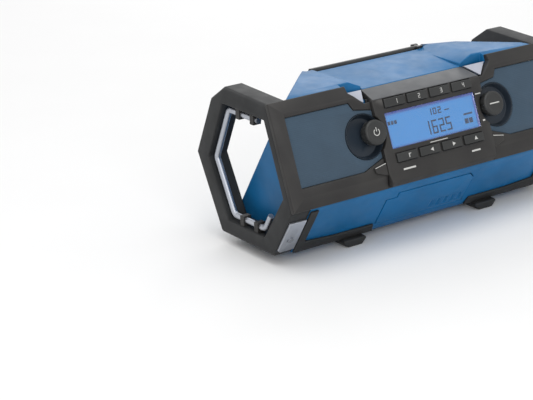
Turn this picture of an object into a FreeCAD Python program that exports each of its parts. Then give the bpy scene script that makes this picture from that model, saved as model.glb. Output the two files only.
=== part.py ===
import FreeCAD, Part
import math
import os
import re
import Sketcher

# A jobsite radio: a blue hollow housing with a tilted black bezel, two speakers behind grilles,
# a control panel with a display, two knobs and eight keys, and a six-sided bumper hoop at each end.
# +X runs along the radio, +Y to its back, +Z up. The origin is on the floor, under the middle.

SIZES = [
    ("length", 356.0),
    ("body_front", 44.0),
    ("body_rear", 40.0),
    ("body_waist", 79.0),
    ("waist_height", 85.0),
    ("body_bottom", 8.0),
    ("body_wall", 3.0),
    ("lip_reach", 79.0),
    ("lip_height", 60.5),
    ("roof_front", 37.5),
    ("roof_front_height", 152.0),
    ("roof_rear_height", 157.5),
    ("roof_wall", 3.0),
    ("shoulder_height", 162.0),
    ("shoulder_inner", 78.0),
    ("shoulder_slant", 16.0),
    ("shoulder_back", 12.0),
    ("end_corner_x", 92.0),
    ("end_corner_y", 20.0),
    ("end_turn", 44.2),
    ("end_lean", 25.3),
    ("front_reach", 85.0),
    ("front_edge_height", 64.0),
    ("front_tilt", 21.2),
    ("bezel_span", 105.0),
    ("bezel_back", 5.0),
    ("bezel_rise", 4.5),
    ("bezel_bevel", 12.0),
    ("grille_outer", 166.0),
    ("grille_knee", 92.0),
    ("grille_notch", 88.0),
    ("grille_notch_high", 81.0),
    ("grille_neck_low", 30.0),
    ("grille_neck_high", 77.5),
    ("grille_low", 21.0),
    ("grille_high", 88.7),
    ("grille_thick", 3.0),
    ("grille_set", 1.2),
    ("hoop_thick", 23.0),
    ("hoop_bar", 20.0),
    ("hoop_depth", 8.0),
    ("hoop_front", 43.0),
    ("hoop_rear", 43.0),
    ("hoop_waist", 83.0),
    ("hoop_bottom", 10.0),
    ("hoop_top", 162.0),
    ("hoop_corner_drop", 16.0),
    ("hoop_corner_back", 10.0),
    ("hoop_corner_run", 14.0),
    ("hoop_edge", 3.0),
    ("guard_radius", 3.0),
    ("guard_inset", 6.0),
    ("guard_bend", 7.0),
    ("clip_length", 6.0),
    ("clip_wall", 1.5),
    ("plate_thick", 2.0),
    ("plate_inset", 2.5),
    ("plate_low", 9.0),
    ("plate_high", 52.0),
    ("cheek_width", 9.0),
    ("rail_height", 12.0),
    ("rail_cover", 2.2),
    ("rail_under", 12.0),
    ("foot_spread", 84.0),
    ("foot_width", 27.0),
    ("foot_length", 26.0),
    ("foot_taper", 5.0),
    ("foot_inset", 4.0),
    ("panel_half", 67.0),
    ("panel_base_half", 64.0),
    ("panel_corner", 14.0),
    ("panel_top_half", 63.0),
    ("panel_rise", 7.5),
    ("panel_seat", 2.0),
    ("panel_ledge", 86.0),
    ("panel_top", 99.0),
    ("panel_drop", 12.0),
    ("panel_wall", 2.5),
    ("display_width", 112.0),
    ("display_height", 35.0),
    ("display_middle", 53.5),
    ("lens_thick", 2.0),
    ("key_pitch", 28.0),
    ("key_width", 24.5),
    ("key_height", 8.5),
    ("key_proud", 1.6),
    ("key_travel", 1.0),
    ("key_gap", 0.4),
    ("preset_row", 80.2),
    ("menu_row", 26.5),
    ("board_thick", 1.6),
    ("knob_spread", 74.0),
    ("knob_middle", 55.5),
    ("knob_radius", 12.5),
    ("knob_tall", 14.0),
    ("knob_lift", 2.0),
    ("knob_flare", 2.5),
    ("cup_spread", 82.0),
    ("cup_middle", 53.9),
    ("cup_radius", 22.0),
    ("cup_depth", 9.0),
    ("cup_wall", 1.6),
    ("shaft_radius", 3.0),
    ("shaft_play", 0.05),
    ("push_travel", 0.8),
    ("encoder_side", 13.0),
    ("encoder_depth", 7.0),
    ("wedge_half", 88.0),
    ("wedge_low", 73.5),
    ("wedge_up", 98.5),
    ("arm_reach", 82.0),
    ("arm_up", 25.0),
    ("wedge_thick", 3.0),
    ("speaker_spread", 123.0),
    ("speaker_radius", 26.5),
    ("speaker_depth", 24.0),
    ("magnet_radius", 16.0),
    ("magnet_depth", 12.0),
    ("speaker_hole", 24.0),
    ("hatch_left", 57.0),
    ("hatch_right", 53.0),
    ("hatch_low", 9.0),
    ("hatch_high", 52.0),
    ("hatch_step", 7.0),
    ("hatch_step_width", 13.0),
    ("hatch_thick", 3.5),
    ("hatch_proud", 0.5),
    ("hatch_gap", 0.5),
    ("tray_depth", 26.0),
    ("tray_wall", 2.0),
    ("hinge_radius", 1.0),
    ("hinge_hold", 5.0),
    ("grip_count", 5.0),
    ("grip_pitch", 9.0),
    ("grip_length", 10.0),
    ("grip_depth", 1.0),
    ("antenna_length", 134.0),
    ("antenna_radius", 3.6),
    ("antenna_right", 66.0),
    ("antenna_back", 35.5),
    ("antenna_drop", 2.0),
    ("antenna_pin", 1.5),
    ("antenna_fork", 3.0),
    ("bay_width", 78.0),
    ("bay_depth", 50.0),
    ("bay_low", 44.0),
    ("bay_high", 118.0),
    ("bay_wall", 2.5),
    ("circuit_width", 116.0),
    ("circuit_depth", 50.0),
    ("circuit_height", 16.0),
    ("fin_height", 16.0),
    ("fin_thick", 1.5),
    ("fin_pitch", 5.0),
    ("inlet_radius", 5.5),
    ("inlet_bore", 2.8),
    ("inlet_depth", 14.0),
    ("aux_bore", 1.8),
    ("rear_rail_half", 150.0),
    ("post_x", 50.0),
    ("post_y", 20.0),
    ("post_radius", 4.5),
    ("screw_radius", 1.5),
    ("head_radius", 3.2),
    ("head_tall", 2.0),
]

os.makedirs("parts", exist_ok=True)
doc = FreeCAD.newDocument("jobsite_radio")
sheet = doc.addObject("Spreadsheet::Sheet", "Sizes")
for row, (alias, size) in enumerate(SIZES, start=1):
    sheet.set("A%d" % row, alias)
    sheet.set("B%d" % row, str(size))
    sheet.setAlias("B%d" % row, alias)
doc.recompute()

NAMES = {alias for alias, size in SIZES}
WORD = re.compile(r"[a-z]+(?:_[a-z]+)*")
nodes = []


# Reading and binding sizes

def bound(text):
    """The expression with every size name pointing at its cell."""
    return WORD.sub(lambda hit: "Sizes." + hit.group(0) if hit.group(0) in NAMES else hit.group(0), text)


def number(text):
    """What an expression comes to with the sizes as they are."""
    return float(sheet.evalExpression(bound(text)))


def bind(thing, **settings):
    """Binds properties to expressions; two underscores stand for a dot."""
    for name, text in settings.items():
        thing.setExpression(name.replace("__", "."), bound(text))


def face(up, out):
    """The (y, z) place that is up the front face and out from it."""
    y = "-front_reach + (%s) * sin(front_tilt) - (%s) * cos(front_tilt)" % (up, out)
    z = "front_edge_height + (%s) * cos(front_tilt) + (%s) * sin(front_tilt)" % (up, out)
    return y, z


# Building solids

def outline(owner, name, role, points):
    """A closed outline in a body's own plane, each corner tied to the sizes."""
    sketch = owner.newObject("Sketcher::SketchObject", name)
    plane = [item for item in owner.Origin.OriginFeatures if item.Role == role][0]
    sketch.AttachmentSupport = [(plane, "")]
    sketch.MapMode = "FlatFace"
    places = [FreeCAD.Vector(number(across), number(up), 0) for across, up in points]
    for start, end in zip(places, places[1:] + places[:1]):
        sketch.addGeometry(Part.LineSegment(start, end))
    for index in range(len(places)):
        after = (index + 1) % len(places)
        sketch.addConstraint(Sketcher.Constraint("Coincident", index, 2, after, 1))
    for index, corner in enumerate(points):
        for kind, text in zip(("DistanceX", "DistanceY"), corner):
            made = sketch.addConstraint(Sketcher.Constraint(kind, -1, 1, index, 1, number(text)))
            sketch.setExpression("Constraints[%d]" % made, bound(text))
    return sketch


def pad(name, role, points, deep, symmetric=True, place=None):
    """A PartDesign body: one outline padded, about its plane or away from it."""
    body = doc.addObject("PartDesign::Body", name)
    feature = body.newObject("PartDesign::Pad", name + "_pad")
    feature.Profile = outline(body, name + "_outline", role, points)
    feature.SideType = "Symmetric" if symmetric else "One side"
    bind(feature, Length=deep)
    settle(body, place)
    return body


def settle(thing, place):
    """Binds a solid's place: three expressions, or none to leave it where it is."""
    if place is not None:
        for letter, text in zip("xyz", place):
            thing.setExpression("Placement.Base." + letter, bound(text))


def box(name, low, size):
    """A rectangular block from its lowest corner."""
    block = doc.addObject("Part::Box", name)
    bind(block, Length=size[0], Width=size[1], Height=size[2])
    settle(block, low)
    return block


def rod(name, radius, tall, foot, axis=(0, 0, 1)):
    """A cylinder that stands on foot and points along axis."""
    cylinder = doc.addObject("Part::Cylinder", name)
    cylinder.Placement.Rotation = FreeCAD.Rotation(FreeCAD.Vector(0, 0, 1), FreeCAD.Vector(*axis))
    bind(cylinder, Radius=radius, Height=tall)
    settle(cylinder, foot)
    return cylinder


def cone(name, low, high, tall, foot):
    """A cone along local Z from its foot."""
    shape = doc.addObject("Part::Cone", name)
    bind(shape, Radius1=low, Radius2=high, Height=tall)
    settle(shape, foot)
    return shape


def cut(name, base, tool):
    """What is left of base without tool."""
    result = doc.addObject("Part::Cut", name)
    result.Base = base
    result.Tool = tool
    return result


def common(name, first, second):
    """What two solids share."""
    result = doc.addObject("Part::Common", name)
    result.Base = first
    result.Tool = second
    return result


def fuse(name, pieces):
    """Several solids as one."""
    if len(pieces) == 1:
        return group(name, pieces)
    result = doc.addObject("Part::MultiFuse", name)
    result.Shapes = pieces
    result.Refine = True
    return result


def group(name, pieces):
    """Like solids kept apart under one name."""
    result = doc.addObject("Part::Compound", name)
    result.Links = pieces
    return result


def tilt(thing):
    """Lays a solid drawn flat (x, up, out) onto the tilted front face."""
    thing.Placement.Rotation = FreeCAD.Rotation(FreeCAD.Vector(1, 0, 0), 1)
    bind(thing, Placement__Rotation__Angle="90 - front_tilt")
    settle(thing, ("0", "-front_reach", "front_edge_height"))
    return thing


def mirrored(name, thing):
    """The other-handed copy across the middle plane."""
    result = doc.addObject("Part::Mirroring", name)
    result.Source = thing
    result.Normal = (1, 0, 0)
    return result


def keep(thing, label):
    """Marks a finished solid as a node of the radio."""
    thing.Label = label
    nodes.append(thing)
    return thing


def pair(thing, label):
    """Keeps a right-hand piece and its left-hand twin."""
    keep(thing, "right_" + label)
    keep(mirrored("left_" + label + "_twin", thing), "left_" + label)


def both(thing, label):
    """Keeps a right-hand piece and its left-hand twin as one node of two solids."""
    keep(group(label, [thing, mirrored(label + "_twin", thing)]), label)


def end_space(name, clearance):
    """Everything beyond the slanted right end wall, moved in by clearance."""
    reach = number("length")
    block = doc.addObject("Part::Box", name)
    bind(block, Length="length", Width="2 * length", Height="2 * length")
    lean = number("end_lean")
    turn = number("end_turn")
    facing = FreeCAD.Rotation(FreeCAD.Vector(0, 0, 1), turn) * FreeCAD.Rotation(
        FreeCAD.Vector(0, 1, 0), -lean
    )
    corner = FreeCAD.Vector(number("end_corner_x"), number("end_corner_y"), number("shoulder_height"))
    shift = facing.multVec(FreeCAD.Vector(-number(clearance), -reach, -reach))
    block.Placement = FreeCAD.Placement(corner + shift, facing)
    return block


def without_ends(name, thing, clearance="0"):
    """Cuts both slanted end spaces off a solid."""
    right = end_space(name + "_right_end", clearance)
    left = mirrored(name + "_left_end", right)
    return cut(name, cut(name + "_half", thing, right), left)


# Housing

BODY = [
    ("-body_front", "body_bottom"),
    ("body_rear", "body_bottom"),
    ("body_waist", "waist_height"),
    ("body_rear", "roof_rear_height"),
    ("-roof_front", "roof_front_height"),
    face("0", "-bezel_back - body_wall"),
]
INSIDE = [
    ("-body_front + 1.2 * body_wall", "body_bottom + body_wall"),
    ("body_rear - 0.7 * body_wall", "body_bottom + body_wall"),
    ("body_waist - 1.2 * body_wall", "waist_height"),
    ("body_rear - 0.7 * body_wall", "roof_rear_height + body_wall"),
    ("-roof_front + body_wall", "roof_front_height + body_wall"),
    face("0", "-bezel_back - 2 * body_wall"),
]
BODY_WIDTH = "length - 2 * hoop_thick - 0.6"
BODY_HALF = "(length / 2 - hoop_thick - 0.3)"

shell_outer = without_ends("shell_outer", pad("shell_block", "YZ_Plane", BODY, BODY_WIDTH))
shell_inner = without_ends(
    "shell_inner", pad("shell_core", "YZ_Plane", INSIDE, BODY_WIDTH + " - 2 * body_wall"), "body_wall"
)
ROOF_CUT = [
    ("-length", "roof_front_height - 5 * roof_wall"),
    ("-roof_front - roof_wall", "roof_front_height - 5 * roof_wall"),
    ("-roof_front + roof_wall", "roof_front_height - roof_wall - 0.1"),
    ("body_rear + 2 * roof_wall", "roof_rear_height - roof_wall - 0.1"),
    ("length", "roof_rear_height - roof_wall"),
    ("length", "length"),
    ("-length", "length"),
]
FRONT_CUT = [
    ("-length", "0"),
    ("-body_front + body_wall", "0"),
    ("-body_front + body_wall", "lip_height - 4 * body_wall"),
    face("0", "-bezel_back - body_wall - 0.1"),
    face("bezel_span + hoop_bar", "-bezel_back - body_wall - 0.1"),
    ("-length", "length"),
]
rear_shell = cut("rear_shell", shell_outer, shell_inner)
front_space = pad("front_space", "YZ_Plane", FRONT_CUT, "length")
speaker_room = pad(
    "speaker_room",
    "YZ_Plane",
    [
        ("-length", "lip_height"),
        face("0", "-5 * body_wall"),
        face("bezel_span + hoop_bar", "-5 * body_wall"),
        ("-length", "length"),
    ],
    "2 * (speaker_spread + speaker_radius + 0.5)",
)
roof_space = pad("roof_space", "YZ_Plane", ROOF_CUT, "length")
EAR_HALF = "(antenna_radius / 2 + 0.9)"
ANTENNA_Z = "(roof_rear_height - antenna_drop)"
CHANNEL = "(%s - antenna_radius - 2)" % ANTENNA_Z
CHANNEL_FRONT = "(antenna_back - %s - antenna_fork)" % EAR_HALF
channel_room = box(
    "channel_room",
    ("-length / 2", CHANNEL_FRONT + " - 3.1", CHANNEL + " - roof_wall - 0.1"),
    ("length", "length", "length"),
)
rear_cuts = fuse(
    "rear_cuts", [front_space, speaker_room, roof_space, without_ends("channel_ends", channel_room, "body_wall")]
)
rear_body = cut("rear_body", rear_shell, rear_cuts)

# Battery bay in the back

bay_hole = box(
    "bay_hole",
    ("-bay_width / 2 - bay_wall - 0.3", "body_waist - bay_depth", "bay_low - bay_wall - 0.3"),
    ("bay_width + 2 * bay_wall + 0.6", "bay_depth + 20", "bay_high - bay_low + 2 * bay_wall + 0.6"),
)
bay_block = box(
    "bay_block",
    ("-bay_width / 2 - bay_wall", "body_waist - bay_depth - bay_wall", "bay_low - bay_wall"),
    ("bay_width + 2 * bay_wall", "bay_depth + bay_wall", "bay_high - bay_low + 2 * bay_wall"),
)
bay_space = box(
    "bay_space",
    ("-bay_width / 2", "body_waist - bay_depth", "bay_low"),
    ("bay_width", "bay_depth + 20", "bay_high - bay_low"),
)
bay_trim = pad(
    "bay_trim",
    "YZ_Plane",
    [
        ("0", "body_bottom"),
        ("body_rear", "body_bottom"),
        ("body_waist", "waist_height"),
        ("body_rear", "roof_rear_height"),
        ("0", "roof_rear_height"),
    ],
    "bay_width + 4 * bay_wall",
)
bay_tray = common("bay_tray", cut("bay_shell", bay_block, bay_space), bay_trim)
rails = [bay_tray]
for side in (-1, 1):
    rails.append(
        box(
            "bay_rail_%s" % ("left" if side < 0 else "right"),
            (
                "-bay_width / 2" if side < 0 else "bay_width / 2 - 4 * bay_wall",
                "body_waist - bay_depth + 3 * bay_wall",
                "bay_low + 6 * bay_wall",
            ),
            ("4 * bay_wall", "2 * bay_wall", "bay_high - bay_low - 8 * bay_wall"),
        )
    )
keep(fuse("battery_bay", rails), "battery_bay")
contact_block = box(
    "contact_block",
    ("-bay_width / 4", "body_waist - bay_depth", "bay_high - 8 * bay_wall"),
    ("bay_width / 2", "3 * bay_wall", "6 * bay_wall"),
)
keep(contact_block, "battery_terminal_block")
blades = []
for index in range(3):
    blades.append(
        box(
            "contact_blade_%d" % index,
            (
                "(%d) * bay_width / 8 - fin_thick / 2" % (index - 1),
                "body_waist - bay_depth + 3 * bay_wall",
                "bay_high - 7 * bay_wall",
            ),
            ("fin_thick", "3 * bay_wall", "4 * bay_wall"),
        )
    )
keep(group("battery_contacts", blades), "battery_contacts")

posts = []
post_bores = []
for side in (-1, 1):
    for end in (-1, 1):
        word = "%d_%d" % (side + 1, end + 1)
        where = ("(%d) * post_x" % side, "(%d) * post_y" % end)
        posts.append(
            rod("post_" + word, "post_radius", "circuit_height - body_bottom - 0.1", where + ("body_bottom",))
        )
        post_bores.append(
            rod("post_bore_" + word, "screw_radius", "circuit_height", where + ("body_bottom + body_wall",))
        )
rear_open = cut("rear_open", rear_body, bay_hole)
rear_housing = cut("rear_housing", fuse("rear_posted", [rear_open] + posts), fuse("post_bores", post_bores))
keep(rear_housing, "rear_housing")

# Front housing: the blue lower front and the baffle plate behind the bezel

LIP = [
    ("-body_front", "body_bottom"),
    ("-body_front + body_wall - 0.1", "body_bottom"),
    ("-body_front + body_wall - 0.1", "body_bottom + body_wall"),
    ("-lip_reach + 2 * body_wall", "lip_height - body_wall"),
    face("0", "-bezel_back - body_wall"),
    face("grille_high", "-bezel_back - body_wall"),
    face("grille_high", "-bezel_back"),
    face("4", "-bezel_back"),
    ("-lip_reach", "lip_height"),
]
front_plate = without_ends("front_plate", pad("front_block", "YZ_Plane", LIP, BODY_WIDTH))
speaker_space = []
for side in (-1, 1):
    hole = rod(
        "speaker_hole_%d" % (side + 1),
        "speaker_hole",
        "4 * bezel_back",
        ("(%d) * speaker_spread" % side, "cup_middle", "-3 * bezel_back"),
    )
    speaker_space.append(hole)
board_space = box(
    "board_space",
    ("-panel_base_half", "menu_row - key_height", "-3 * bezel_back"),
    ("2 * panel_base_half", "grille_high - menu_row", "4 * bezel_back"),
)
knob_space = []
for side in (-1, 1):
    knob_space.append(
        rod(
            "knob_space_%d" % (side + 1),
            "encoder_side",
            "4 * bezel_back",
            ("(%d) * knob_spread" % side, "knob_middle", "-3 * bezel_back"),
        )
    )
baffle_holes = tilt(fuse("baffle_holes", speaker_space + knob_space + [board_space]))
front_holed = cut("front_holed", front_plate, baffle_holes)

# Hatch, tray and sockets behind it in the lower front

SLOPE_RUN = "(lip_reach - body_front)"
SLOPE_RISE = "(lip_height - body_bottom)"
SLOPE_LENGTH = "sqrt(%s ^ 2 + %s ^ 2)" % (SLOPE_RUN, SLOPE_RISE)


def slope(thing):
    """Lays a solid drawn flat (x, up, in) onto the lower front, with its foot on the bottom edge."""
    thing.Placement.Rotation = FreeCAD.Rotation(FreeCAD.Vector(1, 0, 0), 1)
    bind(thing, Placement__Rotation__Angle="180 deg - atan2(%s; %s)" % (SLOPE_RISE, SLOPE_RUN))
    settle(thing, ("0", "-body_front", "body_bottom"))
    return thing


def hatch_shape(name, grow, low, deep):
    """The stepped outline of the hatch, grown all round, from low and deep along its normal."""
    left = "-hatch_left - (%s)" % grow
    right = "hatch_right + (%s)" % grow
    step = "-hatch_left + hatch_step_width - (%s)" % grow
    top = "hatch_high + (%s)" % grow
    corners = [
        (left, "hatch_low - (%s)" % grow),
        (right, "hatch_low - (%s)" % grow),
        (right, top + " - hatch_step"),
        (right + " - hatch_step", top),
        (step, top),
        (step, top + " - hatch_step"),
        (left, top + " - hatch_step"),
    ]
    body = pad(name, "XY_Plane", corners, deep, symmetric=False, place=("0", "0", low))
    return body


hatch_space = hatch_shape("hatch_space", "hatch_gap", "-4 * body_wall", "6 * body_wall")
hatch_hole = slope(fuse("hatch_hole", [hatch_space]))
HINGE_UP = "hatch_low + hatch_thick / 2"
HINGE_IN = "hatch_proud - hatch_thick / 2"


def hinge_rod(name, radius, beyond):
    """A rod on the hatch's hinge line, past each end of the hatch by so much."""
    return rod(
        name,
        radius,
        "hatch_left + hatch_right + 2 * (%s)" % beyond,
        ("-hatch_left - (%s)" % beyond, HINGE_UP, HINGE_IN),
        axis=(1, 0, 0),
    )


pin_holes = slope(fuse("pin_holes", [hinge_rod("pin_hole", "hinge_radius + 0.02", "hatch_gap + hinge_hold")]))
front_housing = cut("front_housing", front_holed, fuse("hatch_holes", [hatch_hole, pin_holes]))
keep(front_housing, "front_housing")

door_plate = hatch_shape("door_plate", "0", HINGE_IN + " - hatch_thick / 2", "hatch_thick")
door_foot = box(
    "door_foot",
    ("-length / 2", "0", "-length / 2"),
    ("length", HINGE_UP, "length"),
)
door_barrel = hinge_rod("door_barrel", "hatch_thick / 2", "0")
door_solid = fuse("door_solid", [cut("door_blade", door_plate, door_foot), door_barrel])
door_cuts = [hinge_rod("hinge_bore", "hinge_radius + shaft_play", "1")]
for index in range(round(number("grip_count"))):
    door_cuts.append(
        rod(
            "grip_%d" % index,
            "hatch_thick",
            "grip_length",
            (
                "hatch_right - (%d + 0.8) * grip_pitch" % index,
                "hatch_low + hatch_thick + 1",
                "hatch_proud + hatch_thick - grip_depth",
            ),
            axis=(0, 1, 0),
        )
    )
keep(slope(cut("front_hatch", door_solid, fuse("door_cuts", door_cuts))), "front_hatch")
keep(slope(fuse("hatch_pin", [hinge_rod("hinge_pin", "hinge_radius", "hatch_gap + hinge_hold - 0.2")])), "hatch_pin")

tray_block = box(
    "tray_block",
    ("-hatch_left - tray_wall - hatch_gap", "hatch_low - tray_wall - hatch_gap", "-tray_depth - tray_wall"),
    (
        "hatch_left + hatch_right + 2 * tray_wall + 2 * hatch_gap",
        "hatch_high - hatch_low - hatch_step + tray_wall + hatch_gap",
        "tray_depth + tray_wall - 1.5 * body_wall",
    ),
)
tray_space = box(
    "tray_space",
    ("-hatch_left - hatch_gap", "hatch_low - hatch_gap", "-tray_depth"),
    (
        "hatch_left + hatch_right + 2 * hatch_gap",
        "hatch_high - hatch_low - hatch_step - tray_wall + hatch_gap",
        "tray_depth",
    ),
)
SOCKETS = (
    ("dc_inlet", "-hatch_left / 2", "inlet_radius", "inlet_bore"),
    ("aux_socket", "0", "0.8 * inlet_radius", "aux_bore"),
)
SOCKET_UP = "(hatch_low + hatch_high) / 2"
socket_holes = []
for name, across, radius, bore in SOCKETS:
    socket_holes.append(
        rod(name + "_hole", radius + " + 0.05", "tray_depth", (across, SOCKET_UP, "-1.5 * tray_depth"))
    )
tray_shell = cut("tray_shell", tray_block, tray_space)
tray = slope(cut("hatch_tray", tray_shell, fuse("tray_holes", socket_holes)))
keep(tray, "hatch_tray")
for name, across, radius, bore in SOCKETS:
    barrel = rod(name + "_barrel", radius, "inlet_depth", (across, SOCKET_UP, "-tray_depth + 2 - inlet_depth"))
    hollow = rod(
        name + "_hollow", bore, "inlet_depth", (across, SOCKET_UP, "-tray_depth + 2 - inlet_depth + tray_wall")
    )
    keep(slope(cut(name, barrel, hollow)), name)

# Base rails, the black band beside each hoop and the feet

rail_body = pad(
    "rail_form",
    "XY_Plane",
    [
        ("hatch_left + rail_cover", "1.5"),
        (BODY_HALF, "1.5"),
        (BODY_HALF, SLOPE_LENGTH + " - 1"),
        (BODY_HALF + " - cheek_width", SLOPE_LENGTH + " - 1"),
        (BODY_HALF + " - cheek_width", "1.3 * rail_height"),
        ("foot_spread + foot_width", "rail_height"),
        ("hatch_left + 2 * rail_cover", "rail_height"),
    ],
    "rail_cover",
    symmetric=False,
    place=("0", "0", "0.1"),
)
rail_laid = slope(fuse("rail_laid", [rail_body]))
both(rail_laid, "front_base_rails")
rear_rail = pad(
    "rear_base_rail",
    "YZ_Plane",
    [
        ("body_rear - rail_under", "body_bottom - 0.1"),
        ("body_rear - rail_under", "body_bottom - rail_cover"),
        ("body_rear + 0.5", "body_bottom - rail_cover"),
        ("body_rear + 8.4", "body_bottom + rail_height - 1"),
        ("body_rear + 6.1", "body_bottom + rail_height"),
        ("body_rear + 0.1", "body_bottom - 0.1"),
    ],
    "2 * rear_rail_half",
)
keep(rear_rail, "rear_base_rail")

for end_word, middle, top in (
    ("front", "-body_front + foot_inset", "body_bottom - 0.1"),
    ("rear", "body_rear - foot_inset", "body_bottom - rail_cover - 0.1"),
):
    foot = pad(
        end_word + "_foot",
        "XZ_Plane",
        [
            ("foot_spread - foot_width / 2 + foot_taper", "0"),
            ("foot_spread + foot_width / 2 - foot_taper", "0"),
            ("foot_spread + foot_width / 2", "foot_taper"),
            ("foot_spread + foot_width / 2", top),
            ("foot_spread - foot_width / 2", top),
            ("foot_spread - foot_width / 2", "foot_taper"),
        ],
        "foot_length",
        place=("0", middle, "0"),
    )
    both(foot, end_word + "_feet")

# Roof: the strip, and a raised shoulder at each end of it

ROOF = [
    ("-roof_front", "roof_front_height"),
    ("body_rear", "roof_rear_height"),
    ("body_rear + 0.51 * roof_wall", "roof_rear_height - roof_wall"),
    ("-roof_front", "roof_front_height - roof_wall"),
]
roof_strip = without_ends("roof_strip", pad("roof_block", "YZ_Plane", ROOF, BODY_WIDTH))
shoulder_side = pad(
    "shoulder_side",
    "YZ_Plane",
    [
        face("grille_high + 1", "-bezel_back - 0.3"),
        face("bezel_span", "-bezel_back - 0.3"),
        ("-roof_front + 2", "shoulder_height"),
        ("shoulder_back", "shoulder_height"),
        ("body_rear", "roof_rear_height"),
        ("body_rear", "roof_rear_height - roof_wall"),
        ("-roof_front", "roof_front_height - roof_wall"),
    ],
    "length",
)
roof_parts = [roof_strip]
for side in (-1, 1):
    sign = "(%d) * " % side
    section = [
        (sign + "(shoulder_inner - shoulder_slant)", "roof_front_height - 4 * roof_wall"),
        (sign + "(shoulder_inner - shoulder_slant)", "roof_front_height + roof_wall"),
        (sign + "shoulder_inner", "shoulder_height"),
        (sign + "(%s)" % BODY_HALF, "shoulder_height"),
        (sign + "(%s)" % BODY_HALF, "roof_front_height - 4 * roof_wall"),
    ]
    word = "left" if side < 0 else "right"
    form = common(
        "shoulder_" + word, shoulder_side, pad("shoulder_form_" + word, "XZ_Plane", section, "length")
    )
    roof_parts.append(without_ends("shoulder_end_" + word, form))
panel_room = box(
    "panel_room",
    ("-wedge_half - 1", "-length - roof_front - 0.1", "roof_front_height - 6 * roof_wall"),
    ("2 * wedge_half + 2", "length", "length"),
)
channel_block = box(
    "channel_block",
    ("-length / 2", CHANNEL_FRONT + " - 3", CHANNEL + " - roof_wall"),
    ("length", "body_rear + 0.8 * roof_wall + 3 - " + CHANNEL_FRONT, "%s + roof_wall - %s - 0.5" % (ANTENNA_Z, CHANNEL)),
)
roof_parts.append(without_ends("channel_floor", channel_block, "body_wall + 0.1"))
channel_space = box(
    "channel_space",
    (
        "antenna_right - antenna_length - 3 * antenna_radius",
        CHANNEL_FRONT + " - 0.3",
        CHANNEL,
    ),
    ("antenna_length + 5.6 * antenna_radius", "length", "length"),
)
roof_cover = cut("roof_cover", fuse("roof_solid", roof_parts), fuse("roof_room", [panel_room, channel_space]))
keep(roof_cover, "roof_cover")

# Bezel: one black frame over the whole front

bezel_side = pad(
    "bezel_side",
    "YZ_Plane",
    [
        ("0", "-bezel_back"),
        ("0", "0"),
        ("bezel_bevel", "bezel_rise"),
        ("bezel_span - bezel_bevel", "bezel_rise"),
        ("bezel_span", "0"),
        ("bezel_span", "-bezel_back"),
    ],
    "length",
)
bezel_plan = pad(
    "bezel_plan",
    "XZ_Plane",
    [
        ("-length / 2", "-bezel_back"),
        ("-length / 2", "0"),
        ("-length / 2 + bezel_bevel", "bezel_rise"),
        ("length / 2 - bezel_bevel", "bezel_rise"),
        ("length / 2", "0"),
        ("length / 2", "-bezel_back"),
    ],
    "3 * bezel_span",
)
THROUGH = "4 * bezel_back"


def grille_outline(side, ease):
    """The grille's edge, shrunk by ease: square outside, cut back to the panel's side towards the middle."""
    sign = "(%d) * " % side
    corners = [
        ("grille_outer - %s", "grille_low + %s"),
        ("grille_outer - %s", "grille_high - %s"),
        ("grille_knee + %s", "grille_high - %s"),
        ("grille_notch", "grille_notch_high - %s"),
        ("panel_half + %s", "grille_neck_high - %s"),
        ("panel_half + %s", "grille_neck_low + %s"),
        ("grille_knee + %s", "grille_low + %s"),
    ]
    return [(sign + "(" + across.replace("%s", ease) + ")", up.replace("%s", ease)) for across, up in corners]


bezel_gaps = [
    box(
        "panel_gap",
        ("-panel_half - 0.3", "-1", "-panel_seat"),
        ("2 * panel_half + 0.6", "bezel_span + 2", THROUGH),
    ),
    box(
        "panel_top_gap",
        ("-panel_half - 0.3", "grille_high + 0.2", "-2 * bezel_back"),
        ("2 * panel_half + 0.6", "bezel_span", THROUGH),
    ),
    box(
        "board_gap",
        ("-panel_base_half", "menu_row - key_height", "-2 * bezel_back"),
        ("2 * panel_base_half", "grille_high - menu_row", THROUGH),
    ),
]
for side in (-1, 1):
    bezel_gaps.append(pad("grille_gap_%d" % (side + 1), "XY_Plane", grille_outline(side, "0"), THROUGH))
    sign = "(%d) * " % side
    wedge_notch = [
        (sign + "panel_half", "panel_ledge - 1"),
        (sign + "(wedge_low + 0.8)", "panel_ledge - 1"),
        (sign + "(wedge_half + 0.8)", "wedge_up - 0.3"),
        (sign + "(wedge_half + 0.8)", "bezel_span + 1"),
        (sign + "panel_half", "bezel_span + 1"),
    ]
    bezel_gaps.append(pad("wedge_notch_%d" % (side + 1), "XY_Plane", wedge_notch, THROUGH))
    bezel_gaps.append(
        rod(
            "cup_gap_%d" % (side + 1),
            "cup_radius + 0.1",
            THROUGH,
            ("(%d) * cup_spread" % side, "cup_middle", "-2 * bezel_back"),
        )
    )
bezel = tilt(cut("front_frame", common("bezel_form", bezel_side, bezel_plan), fuse("bezel_gaps", bezel_gaps)))
keep(bezel, "front_frame")

# Grilles, each with a bite for its knob cup, and the speakers behind them

grille_block = pad(
    "grille_block",
    "XY_Plane",
    grille_outline(1, "0.2"),
    "grille_thick",
    symmetric=False,
    place=("0", "0", "bezel_rise - grille_set - grille_thick"),
)
cup_bite = rod("cup_bite", "cup_radius + 0.3", THROUGH, ("cup_spread", "cup_middle", "-2 * bezel_back"))
grille = tilt(cut("speaker_grille", grille_block, cup_bite))
pair(grille, "speaker_grille")

SPEAKER = "-bezel_back - body_wall - 0.1"


def at_speaker(out):
    """A place on the speaker's axis, out from the front face."""
    return ("speaker_spread", "cup_middle", out)


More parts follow.
